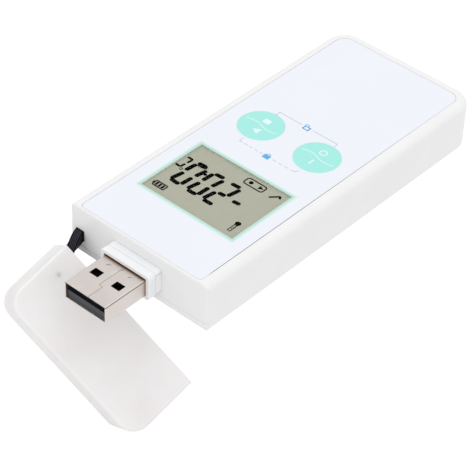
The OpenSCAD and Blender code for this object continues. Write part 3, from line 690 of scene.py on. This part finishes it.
digits = [segment(a, b, STROKE) for a, b in segments]
small = [((12.6, 16.67), (11.25, 16.66)), ((11.17, 16.84), (11.36, 18.18)),
         ((11.45, 18.94), (11.6, 20.23)), ((12.93, 20.23), (11.72, 20.34))]
digits += [segment(a, b, SMALL_STROKE) for a, b in small]
digits.append(disc((5.7, 18.6), 0.42, DIGIT_LOW, DIGIT_HIGH))
digits.append(arc((10.93, 20.75), 0.32, 0.2, DIGIT_LOW, DIGIT_HIGH, 0, 360, 20))
SIGN = 0.34
TREND = 0.5
TUBE = 0.22
battery = [(8.7, 27.35), (11.9, 27.35), (11.9, 28.95), (8.7, 28.95), (8.7, 27.35)]
trend = [(-9.36, 14.72), (-11.19, 12.83), (-11.55, 13.69)]
record_frame = [(-6.85, 12.6), (-2.25, 12.6), (-1.9, 12.95), (-1.9, 14.4), (-2.25, 14.75),
                (-6.85, 14.75), (-7.2, 14.4), (-7.2, 12.95), (-6.85, 12.6)]
thermometer = [(-10.95, 26.3), (-10.95, 29.1), (-10.25, 29.1), (-10.25, 26.3)]
signs = []


def outline(points, width):
    """Adds a closed or open line through the points to the signs."""
    for a, b in zip(points, points[1:]):
        signs.append(bar(a, b, width, DIGIT_LOW, DIGIT_HIGH))


outline(battery, SIGN)
signs.append(bar((12.15, 27.8), (12.15, 28.5), 0.4, DIGIT_LOW, DIGIT_HIGH))
for x in (9.4, 10.3, 11.2):
    signs.append(bar((x, 27.6), (x, 28.7), 0.6, DIGIT_LOW, DIGIT_HIGH))
outline(trend, TREND)
outline(record_frame, SIGN)
for i in range(6):
    x, half = -6.75 + 0.2 * i, 0.1 * i + 0.08
    signs.append(bar((x, 13.67 - half), (x, 13.67 + half), 0.21, DIGIT_LOW, DIGIT_HIGH))
signs.append(disc((-3.4, 13.67), 0.55, DIGIT_LOW, DIGIT_HIGH))
signs.append(disc((-10.6, 26.06), 0.72, DIGIT_LOW, DIGIT_HIGH))
outline(thermometer, TUBE)
for y in (27.0, 27.6, 28.2):
    signs.append(bar((-10.9, y), (-10.5, y), 0.2, DIGIT_LOW, DIGIT_HIGH))
digit_black = ink("digit_black", DIGIT_BLACK, 0.9)
digit_black.node_tree.nodes["Principled BSDF"].inputs["Specular IOR Level"].default_value = 0.0
dress(join(digits + signs, "display_digits"), digit_black, "root", "display_olive")


# The window pane is a clear plastic plate, bonded under the film's edge. It is drawn
# as a thin coat of gloss that lets the display through.
PANE_GAP = 0.03 * MM
PANE_CLEAR = 0.04
pane = cad_copy("display_window", "window_pane")
for vertex in pane.data.vertices:
    if vertex.co.z < pane_high.z + PANE_GAP:
        vertex.co.z += PANE_GAP
    if vertex.co.z > film_top - PANE_GAP:
        vertex.co.z = print_top
clear, clear_shader, clear_place = new_material("window_clear")
tint(clear, clear_shader, grain(clear, clear_place, 6 * MM, 2.0), (0.03, 0.035, 0.03),
     (0.05, 0.055, 0.05))
wear(clear, clear_shader, grain(clear, clear_place, 3 * MM, 3.0), 0.04, 0.09)
clear_shader.inputs["Alpha"].default_value = PANE_CLEAR
dress(pane, clear, "root", "window_clear", "display_window")


# The two keys are round fields of the film that give way over a snap switch. They are
# mint with a white wave across, and white signs: a square and a triangle for stop and
# start, a ring and a stroke for off and on.
KEY_MINT = (0.348, 0.805, 0.738)
SIGN_WHITE = (0.80, 0.93, 0.92)
WAVE_HALF = 2.15
WAVE_HEIGHT = 0.48
WAVE_RADIUS = (WAVE_HALF ** 2 + WAVE_HEIGHT ** 2) / (2 * WAVE_HEIGHT)
WAVE_TURN = math.degrees(math.asin(WAVE_HALF / WAVE_RADIUS))
WAVE_OVER = 2.5
KEY_WIDER = 0.09 * MM
KEY_SKIRT = 0.3 * MM
KEY_NEAR = 0.02 * MM
STOP_AWAY, STOP_WIDE, STOP_HIGH = 2.1, 1.8, 1.5
START_AWAY, START_FROM, START_STEP = 2.0, 0.95, 0.32
START_HALF, START_LESS = 1.0, 0.19
OFF_AWAY, OFF_RADIUS = 2.2, 0.85
ON_FROM, ON_TO = 1.2, 3.0
key_mint = film("key_mint", KEY_MINT, 0.32)
key_white = ink("ink_white", SIGN_WHITE)


def wave(x, y):
    """The white S line across a key."""
    flat = WAVE_RADIUS - WAVE_HEIGHT
    turn = 2 * WAVE_TURN + WAVE_OVER
    return [arc((x - WAVE_HALF, y - flat), WAVE_RADIUS, 0.2, PRINT_LOW, PRINT_HIGH,
                90 - WAVE_TURN, turn, 14),
            arc((x + WAVE_HALF, y + flat), WAVE_RADIUS, 0.2, PRINT_LOW, PRINT_HIGH,
                270 - WAVE_TURN, turn, 14)]


for node in ("start_key", "power_key"):
    low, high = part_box(node)
    x, y = (low.x + high.x) / 2 / MM, (low.y + high.y) / 2 / MM
    key = cad_copy(node, node + "_cap")
    for vertex in key.data.vertices:
        out = Vector((vertex.co.x - x * MM, vertex.co.y - y * MM, 0))
        at_rim = abs(out.length - KEY_RADIUS * MM) < KEY_NEAR
        if at_rim and vertex.co.z > film_low.z - KEY_SKIRT:
            vertex.co += out.normalized() * KEY_WIDER
        if vertex.co.z > film_top - PRINT_RISE:
            vertex.co.z = print_top
    break_edges(key, FILM_EDGE, 1)
    dress(key, key_mint, node, "key_mint", node)
    marks = wave(x, y - 0.12)
    if node == "start_key":
        marks.append(bar((x - STOP_WIDE / 2, y - STOP_AWAY), (x + STOP_WIDE / 2, y - STOP_AWAY),
                         STOP_HIGH, PRINT_LOW, PRINT_HIGH))
        for i in range(6):
            across, half = x - START_FROM + START_STEP * i, START_HALF - START_LESS * i
            marks.append(bar((across, y + START_AWAY - half), (across, y + START_AWAY + half),
                             START_STEP + 0.01, PRINT_LOW, PRINT_HIGH))
    else:
        marks.append(arc((x, y - OFF_AWAY), OFF_RADIUS, 0.3, PRINT_LOW, PRINT_HIGH, 0, 360, 28))
        marks.append(bar((x, y + ON_FROM), (x, y + ON_TO), 0.34, PRINT_LOW, PRINT_HIGH))
    dress(join(marks, node + "_signs"), key_white, node, "key_mint")


# The plug's shell is folded from nickel-plated sheet. Its seam runs along the top,
# and two windows and two pressed marks show there. Dark bars of painted shade lie at
# the foot of seam and marks. A painted reflection, a dark line just below the top with
# a bright band above it, runs along the bend of the top edge, and where the shell enters
# the collar it is painted darker and warmer: painted shade with a warm painted glow.
SEAM = 0.1
SEAM_DEEP = 0.12 * MM
SEAM_SUNK = 0.02 * MM
FOOT_WIDER = 0.04
FOOT_SHORT = 0.03
MARK_WIDER = 0.07
SHELL_EDGE = 0.05 * MM
shell = cad_copy("usb_shell", "plug_shell")
shell_low, shell_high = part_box("usb_shell")
shell_top = shell_high.z
tip = shell_high.y / MM
seam_way = [(-0.3, 49.9), (-0.3, 50.75), (0.07, 50.9), (0.07, 57.35), (-0.97, 57.4)]
seam_low = shell_top - SEAM_DEEP
cuts = []
# The foot bars are painted shade: dark bars set into the seam and the marks, just below the top.
foot = []
for kept, end, width, high in ((cuts, tip + 1, SEAM, shell_top + SEAM_DEEP),
                               (foot, tip - FOOT_SHORT, SEAM + FOOT_WIDER, shell_top - SEAM_SUNK)):
    for a, b in zip(seam_way, seam_way[1:] + [(-0.97, end)]):
        kept.append(bar(a, b, width, seam_low, high))
    for x, y, radius in ((3.1, 51.45, 0.6), (-2.9, 51.25, 0.45)):
        kept.append(arc((x - 0.7 * radius, y + 0.7 * radius), radius, width + MARK_WIDER,
                        seam_low, high, -105, 120, 10))
break_edges(shell, SHELL_EDGE, 2, 50)
carve(shell, cuts)
smooth(shell)


def metal(name, colour, rough, brushed=(1, 1, 1), spot=0.6 * MM):
    """Plated or bare metal: drawn-out grain in gloss and height, faint clouds."""
    made, shader, place = new_material(name)
    shader.inputs["Metallic"].default_value = 1.0
    tint(made, shader, grain(made, place, 5 * MM, 3.0), shade(colour, 0.93), colour)
    streaks = grain(made, place, spot, 4.0, brushed)
    wear(made, shader, streaks, rough - 0.08, rough + 0.1)
    emboss(made, shader, streaks, 0.004 * MM, 0.4)
    return made


NICKEL = (0.86, 0.79, 0.75)
# A painted reflection along the bend of the top edge: the ramp over this height gives a dark line
# below the top and a bright band above it.
BEND_HIGH = 0.5 * MM
BEND_REFLECTION_TONES = ((0.0, 0.82), (0.25, 0.79), (0.4, 0.26), (0.78, 0.26), (0.88, 1.04), (0.97, 0.765))
# Where the shell enters the collar it is painted darker and warmer: painted shade with a warm
# painted glow.
ROOT_SHADE_GLOW = (0.85, 0.62, 0.45, 1)
ROOT_INSIDE, ROOT_OUTSIDE = 0.1 * MM, 0.7 * MM
plug_nickel = metal("plug_nickel", NICKEL, 0.34, (1, 0.15, 1))
nickel_nodes, nickel_links = plug_nickel.node_tree.nodes, plug_nickel.node_tree.links
nickel_shader = nickel_nodes["Principled BSDF"]
nickel_place = nickel_nodes["Texture Coordinate"].outputs["Object"]
bend_reflection = nickel_nodes.new("ShaderNodeValToRGB")
for i, (share, tone) in enumerate(BEND_REFLECTION_TONES):
    stop = bend_reflection.color_ramp.elements[i] if i < 2 else bend_reflection.color_ramp.elements.new(share)
    stop.position = share
    stop.color = (tone, tone, tone, 1)
nickel_links.new(along(plug_nickel, nickel_place, 2, shell_top - BEND_HIGH, shell_top),
                 bend_reflection.inputs[0])
root_shade_glow = nickel_nodes.new("ShaderNodeValToRGB")
root_shade_glow.color_ramp.elements[0].color = ROOT_SHADE_GLOW
root_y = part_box("usb_collar")[1].y
nickel_links.new(along(plug_nickel, nickel_place, 1, root_y - ROOT_INSIDE, root_y + ROOT_OUTSIDE),
                 root_shade_glow.inputs[0])
for tone in (bend_reflection, root_shade_glow):
    toned = nickel_nodes.new("ShaderNodeVectorMath")
    toned.operation = "MULTIPLY"
    nickel_links.new(nickel_shader.inputs["Base Color"].links[0].from_socket, toned.inputs[0])
    nickel_links.new(tone.outputs[0], toned.inputs[1])
    nickel_links.new(toned.outputs[0], nickel_shader.inputs["Base Color"])
dress(shell, plug_nickel, "root", "plug_nickel", "usb_shell")
dress(join(foot, "shell_seam"), moulded("seam_shadow", (0.11, 0.085, 0.075), 0.7), "root",
      "plug_nickel")


# The contact tongue is moulded in a blue black plastic, and its four contacts are gold
# plated strips let into its top. Both keep the mesh that was drawn for them.
TONGUE_BLUE = (0.018, 0.02, 0.028)
CONTACT_GOLD = (0.85, 0.62, 0.25)


def coat(made, *nodes):
    """Gives the drawn nodes their material."""
    for node in nodes:
        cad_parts[node].data.materials.clear()
        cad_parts[node].data.materials.append(made)


coat(moulded("tongue_blue", TONGUE_BLUE, 0.4, 0.2 * MM, 0.006 * MM), "usb_tongue")
coat(metal("contact_gold", CONTACT_GOLD, 0.25, (1, 0.2, 1), 0.3 * MM), "usb_contacts")


# The collar is the white moulding through which the plug leaves the case. Its front
# is rounded, a fine step runs round it, and a thin lip closes it in towards the shell.
# Behind the lip sits the ring that seals the shell, coloured orange brown as a painted
# warm glow in the dark gap.
COLLAR_WHITE = (0.89, 0.90, 0.91)
RING_BROWN = (0.30, 0.15, 0.06)
FRONT_ROUND = 0.28 * MM
FRONT_NEAR = 0.001 * MM
RING_PLAY = 0.1 * MM
LIP_GAP = 0.12 * MM
LIP_BACK = 0.03 * MM
LIP_DEEP = 0.3 * MM
collar = cad_copy("usb_collar", "plug_collar")
collar_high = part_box("usb_collar")[1]
ring_low, ring_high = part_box("plug_seal")
bpy.ops.object.mode_set(mode="EDIT")
bpy.ops.mesh.select_mode(type="EDGE")
bpy.ops.mesh.select_all(action="DESELECT")
bpy.ops.object.mode_set(mode="OBJECT")
for edge in collar.data.edges:
    a, b = (collar.data.vertices[v].co for v in edge.vertices)
    at_front = min(a.y, b.y) > collar_high.y - FRONT_NEAR
    outside = all(p.x < ring_low.x - RING_PLAY or p.x > ring_high.x + RING_PLAY
                  or p.z < ring_low.z - RING_PLAY or p.z > ring_high.z + RING_PLAY
                  for p in (a, b))
    edge.select = at_front and outside
bpy.ops.object.mode_set(mode="EDIT")
bpy.ops.mesh.bevel(offset=FRONT_ROUND, segments=4, clamp_overlap=True)
bpy.ops.object.mode_set(mode="OBJECT")
lip_x, lip_z = ring_high.x, (ring_high.z - ring_low.z) / 2
gap_x, gap_z = shell_high.x + LIP_GAP, (shell_high.z - shell_low.z) / 2 + LIP_GAP
lip_middle = (ring_high.z + ring_low.z) / 2
lip = []
for side_ in (1, -1):
    for low, high in (((side_ * gap_x, lip_middle - lip_z), (side_ * lip_x, lip_middle + lip_z)),
                      ((-gap_x, lip_middle + side_ * gap_z), (gap_x, lip_middle + side_ * lip_z))):
        place = ((low[0] + high[0]) / 2, collar_high.y - LIP_BACK - LIP_DEEP / 2,
                 (low[1] + high[1]) / 2)
        bpy.ops.object.select_all(action="DESELECT")
        bpy.ops.mesh.primitive_cube_add(
            size=1, location=place,
            scale=(abs(high[0] - low[0]), LIP_DEEP, abs(high[1] - low[1])))
        bpy.ops.object.transform_apply(location=True, rotation=True, scale=True)
        lip.append(bpy.context.object)
join([collar] + lip, "plug_collar")
smooth(collar)
collar_white = moulded("collar_white", COLLAR_WHITE, 0.4)
collar_shader = collar_white.node_tree.nodes["Principled BSDF"]
collar_shader.inputs["Subsurface Weight"].default_value = 0.25
collar_shader.inputs["Subsurface Radius"].default_value = (1.0, 0.9, 0.85)
collar_shader.inputs["Subsurface Scale"].default_value = 0.5 * MM
dress(collar, collar_white, "root", "collar_white", "usb_collar")
# The seal's orange brown is a painted warm glow, not the rubber's own black.
coat(moulded("ring_black", RING_BROWN, 0.5), "plug_seal")


# The strap is one black rubber band with fine ribs along its narrow sides. It is held
# in the case, twists as it hangs, and ends in an eye inside the cap, so its free part
# is drawn as two halves that meet in the middle, and each bends at its other end. The
# ribs' crests are painted lighter, a painted highlight on the black.
CAP_TURN = tuple(math.radians(a) for a in (-32.35, -41.08, 15.66))
BEND = Vector((17.05, 46.3, 4.325))
REACH, DROP, SHIFT = 3.82, 1.12, 0.52
STRAP_THICK, STRAP_HIGH = 2.2, 4.0
STRAP_EDGE = 0.12
RIBS = 5
RIB_DEEP = 0.1
RIB_PLAIN = 0.2
SLOT_LOW = -0.7
STRAP_MIDDLE = 1.9
CASE_WAYS = (-2.4, -1.6, -0.9, -0.45, 0, 0.4, 0.8, 1.2, 1.55, STRAP_MIDDLE)
CAP_WAYS = (STRAP_MIDDLE, 2.3, 2.7, 3.1, 3.5, REACH, 4.2, 4.8, 5.6, 6.6)
RUBBER_BLACK = (0.010, 0.010, 0.013)
RIB_DARK, RIB_HIGHLIGHT = (0.004, 0.0035, 0.005), (0.05, 0.045, 0.065)


def strap_frame(way):
    """Place and turn of the strap's section at a way in mm from its bend."""
    share = min(max(way / REACH, 0), 1)
    turn = Euler([a * share for a in CAP_TURN]).to_matrix()
    place = BEND + Vector((-SHIFT * share * share, REACH * share, -DROP * share))
    if way < 0:
        place.y += way
    if way > REACH:
        place += turn @ Vector((0, way - REACH, 0))
    return place, turn


def strap_section():
    """Outline of the band, with fine ribs along both narrow sides, in mm."""
    half, high = STRAP_THICK / 2, STRAP_HIGH / 2
    step = (half - STRAP_EDGE) / RIBS
    points = []
    for way in (1, -1):
        points.append((way * half, -way * (high - STRAP_EDGE)))
        points.append((way * half, way * (high - STRAP_EDGE)))
        for i in range(2 * RIBS + 1):
            deep = RIB_DEEP if i % 2 else 0
            points.append((way * (half - STRAP_EDGE - i * step), way * (high - deep)))
    return points


def strap_half(name, ways):
    """A closed length of the band through the given ways, lower where the slot holds it."""
    section = strap_section()
    high = STRAP_HIGH / 2
    bpy.ops.object.select_all(action="DESELECT")
    bpy.ops.mesh.primitive_circle_add(vertices=len(section), fill_type="NGON")
    piece = bpy.context.object
    piece.name = name
    bpy.ops.object.mode_set(mode="EDIT")
    for _ in ways[1:]:
        bpy.ops.mesh.extrude_region_move(TRANSFORM_OT_translate={"value": (0, 0, 1)})
    bpy.ops.object.mode_set(mode="OBJECT")
    rings = {}
    crest = {}
    for vertex in piece.data.vertices:
        rings.setdefault(round(vertex.co.z), []).append(vertex)
    for i, way in enumerate(ways):
        place, turn = strap_frame(way)
        ring = sorted(rings[i], key=lambda v: math.atan2(v.co.y, v.co.x))
        lowest = SLOT_LOW + (-high - SLOT_LOW) * min(max(way / REACH, 0), 1)
        for vertex, (x, z) in zip(ring, section):
            crest[vertex.index] = abs(z) == high and abs(x) < STRAP_THICK / 2 - RIB_PLAIN
            z = high - (high - z) * (high - lowest) / (2 * high)
            vertex.co = (place + turn @ Vector((x, 0, z))) * MM
    rib = piece.data.attributes.new("rib", "FLOAT", "POINT")
    for vertex, value in crest.items():
        rib.data[vertex].value = float(value)
    bpy.ops.object.mode_set(mode="EDIT")
    bpy.ops.mesh.select_all(action="SELECT")
    bpy.ops.mesh.normals_make_consistent(inside=False)
    bpy.ops.object.mode_set(mode="OBJECT")
    bpy.ops.object.shade_smooth_by_angle(angle=math.radians(30))
    return piece


def dull(made, shader, place, rough):
    """The fine dust and pores of moulded rubber."""
    wear(made, shader, grain(made, place, 0.8 * MM, 3.0), rough - 0.1, rough + 0.1)
    emboss(made, shader, grain(made, place, 0.12 * MM, 2.0), 0.006 * MM, 0.4)


def rubber(name, colour, rough=0.6, gloss=0.5):
    """Moulded rubber: dull, in clouds of its colour, with a soft sheen."""
    made, shader, place = new_material(name)
    tint(made, shader, grain(made, place, 1.2 * MM, 4.0), shade(colour, 0.8),
         shade(colour, 1.25))
    dull(made, shader, place, rough)
    shader.inputs["Sheen Weight"].default_value = 0.02
    shader.inputs["Specular IOR Level"].default_value = gloss
    return made


# The ribs' crests carry a painted highlight in the lighter colour, and the rest of the band stays
# black.
ribbed, ribbed_shader, ribbed_place = new_material("strap_ribbed")
rib_value = ribbed.node_tree.nodes.new("ShaderNodeAttribute")
rib_value.attribute_name = "rib"
tint(ribbed, ribbed_shader, rib_value.outputs["Fac"], RIB_DARK, RIB_HIGHLIGHT)
dull(ribbed, ribbed_shader, ribbed_place, 0.4)
ribbed_shader.inputs["Specular IOR Level"].default_value = 0.07
case_half = strap_half("strap_case_half", CASE_WAYS)
case_half.data.materials.append(ribbed)
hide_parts("cap_strap")
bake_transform(case_half)
cap_half = strap_half("strap_cap_half", CAP_WAYS)
cap_half.data.materials.append(ribbed)
mouth, mouth_turn = strap_frame(REACH)
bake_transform(cap_half)
coat(rubber("strap_rubber", RUBBER_BLACK, 0.5, 0.25), "strap_anchor", "strap_end")


# The cap is moulded in a milky, slightly see-through silicone. It is open towards the
# strap, and its outer edges are well rounded, apart from the hole of the strap's pin.
CAP_DARK, CAP_LIGHT = (0.82, 0.80, 0.795), (0.87, 0.852, 0.855)
CAP_ROUND = 0.9 * MM
MOUTH_ROUND = 0.2 * MM
NEAR_PIN = 0.8 * MM
AT_LEVEL = 0.01 * MM
cap = cad_copy("cap", "plug_cap")
pin_points = [v.co.copy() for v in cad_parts["strap_pin"].data.vertices]
to_cap = mouth_turn.transposed()
heights = [(to_cap @ v.co).z for v in cap.data.vertices]
cap_low, cap_high = min(heights), max(heights)
mouth_way = min((to_cap @ v.co).y for v in cap.data.vertices)
pick(cap)
for rounding, steps, outer in ((CAP_ROUND, 5, True), (MOUTH_ROUND, 2, False)):
    bpy.ops.object.mode_set(mode="EDIT")
    bpy.ops.mesh.select_mode(type="EDGE")
    bpy.ops.mesh.select_all(action="DESELECT")
    bpy.ops.mesh.edges_select_sharp(sharpness=math.radians(40))
    bpy.ops.object.mode_set(mode="OBJECT")
    for edge in cap.data.edges:
        a, b = (cap.data.vertices[v].co for v in edge.vertices)
        ends = [to_cap @ a, to_cap @ b]
        broad = any(all(abs(p.z - level) < AT_LEVEL for p in ends)
                    for level in (cap_low, cap_high))
        at_mouth = all(abs(p.y - mouth_way) < AT_LEVEL for p in ends)
        by_pin = min(((a + b) / 2 - p).length for p in pin_points) < NEAR_PIN
        if by_pin or (outer and (at_mouth or not broad)) or (not outer and not at_mouth):
            edge.select = False
    bpy.ops.object.mode_set(mode="EDIT")
    bpy.ops.mesh.bevel(offset=rounding, segments=steps, clamp_overlap=True)
    bpy.ops.object.mode_set(mode="OBJECT")
smooth(cap)
silicone, silicone_shader, silicone_place = new_material("cap_silicone")
tint(silicone, silicone_shader, grain(silicone, silicone_place, 12 * MM, 3.0),
     CAP_DARK, CAP_LIGHT)
wear(silicone, silicone_shader, grain(silicone, silicone_place, 4 * MM, 3.0), 0.42, 0.55)
emboss(silicone, silicone_shader, grain(silicone, silicone_place, 0.5 * MM, 3.0),
       0.01 * MM, 0.4)
silicone_shader.inputs["Subsurface Weight"].default_value = 0.5
silicone_shader.inputs["Subsurface Radius"].default_value = (1.0, 0.9, 0.8)
silicone_shader.inputs["Subsurface Scale"].default_value = 1.5 * MM
dress(cap, silicone, "cap", "cap_silicone", "cap")


# The pin that holds the strap's eye is a short steel rod, pressed flush into the cap.
# Only its end shows, as a small grey spot with a paler rim in the milky wall.
PIN_WIDER = 0.09 * MM
PIN_GREY, PIN_RIM = (0.58, 0.58, 0.58), (0.84, 0.82, 0.82)
SPOT_FROM, SPOT_TO = 0.1 * MM, 0.65 * MM
pin = cad_copy("strap_pin", "eye_pin")
pin_middle = sum(pin_points, Vector()) / len(pin_points)
pin_axis = mouth_turn @ Vector((0, 0, 1))
for vertex in pin.data.vertices:
    out = vertex.co - pin_middle
    out -= pin_axis * out.dot(pin_axis)
    if out.length > SPOT_FROM:
        vertex.co += out.normalized() * PIN_WIDER
smooth(pin, 40)
pin_steel, pin_shader, pin_place = new_material("pin_steel")
pin_nodes, pin_links = pin_steel.node_tree.nodes, pin_steel.node_tree.links
from_middle = pin_nodes.new("ShaderNodeVectorMath")
from_middle.operation = "SUBTRACT"
from_middle.inputs[1].default_value = pin_middle
pin_links.new(pin_place, from_middle.inputs[0])
aside = pin_nodes.new("ShaderNodeVectorMath")
aside.operation = "CROSS_PRODUCT"
aside.inputs[1].default_value = pin_axis
pin_links.new(from_middle.outputs[0], aside.inputs[0])
reach = pin_nodes.new("ShaderNodeVectorMath")
reach.operation = "LENGTH"
pin_links.new(aside.outputs[0], reach.inputs[0])
spot = pin_nodes.new("ShaderNodeMapRange")
spot.inputs["From Min"].default_value = SPOT_FROM
spot.inputs["From Max"].default_value = SPOT_TO
pin_links.new(reach.outputs["Value"], spot.inputs["Value"])
tint(pin_steel, pin_shader, spot.outputs[0], PIN_GREY, PIN_RIM)
wear(pin_steel, pin_shader, grain(pin_steel, pin_place, 0.5 * MM, 2.0), 0.4, 0.5)
dress(pin, pin_steel, "cap", "pin_steel", "strap_pin")


# The case is closed by a rubber seal in its joint and four plated screws from the back.
# These and all the pieces that follow keep the mesh that was drawn for them.
coat(rubber("seal_rubber", (0.05, 0.05, 0.055)), "case_seal")
coat(metal("screw_steel", (0.62, 0.62, 0.64), 0.35), "case_screws")


# Behind the display's front lie its glass and a silvered reflector, in a black frame.
# Two strips of layered rubber press on the board and carry the display's signals.
GLASS_CLEAR = 0.35
glass, glass_shader, glass_place = new_material("glass_clear")
tint(glass, glass_shader, grain(glass, glass_place, 8 * MM, 2.0), (0.72, 0.78, 0.75),
     (0.8, 0.84, 0.82))
wear(glass, glass_shader, grain(glass, glass_place, 3 * MM, 2.0), 0.03, 0.08)
glass_shader.inputs["Alpha"].default_value = GLASS_CLEAR
coat(glass, "lcd_glass")
coat(metal("reflector_silver", (0.75, 0.75, 0.7), 0.3), "lcd_reflector")
coat(moulded("holder_black", (0.02, 0.02, 0.02), 0.5), "lcd_holder")
coat(rubber("strip_rubber", (0.05, 0.05, 0.05)), "contact_strips")


# The board is green glass fibre, with two snap switches under the keys, two black
# chips, a small sensor and a quartz in a steel can soldered to it.
board, board_shader, board_place = new_material("board_green")
tint(board, board_shader, grain(board, board_place, 1.5 * MM, 4.0), (0.008, 0.06, 0.02),
     (0.012, 0.1, 0.035))
wear(board, board_shader, grain(board, board_place, 2 * MM, 3.0), 0.3, 0.45)
coat(board, "main_board")
coat(moulded("switch_black", (0.02, 0.02, 0.022), 0.4), "start_switch", "power_switch")
coat(moulded("chip_black", (0.015, 0.015, 0.016), 0.5), "controller_chip", "memory_chip",
     "temperature_sensor")
can_steel = metal("can_steel", (0.7, 0.7, 0.7), 0.25)
coat(can_steel, "crystal")


# The coin cell lies in the back half in its steel can, held and joined to the board
# by a nickel tab on either side.
coat(can_steel, "battery_cell")
coat(metal("tab_nickel", (0.68, 0.66, 0.6), 0.3), "battery_tab_positive",
     "battery_tab_negative")

bpy.context.view_layer.update()
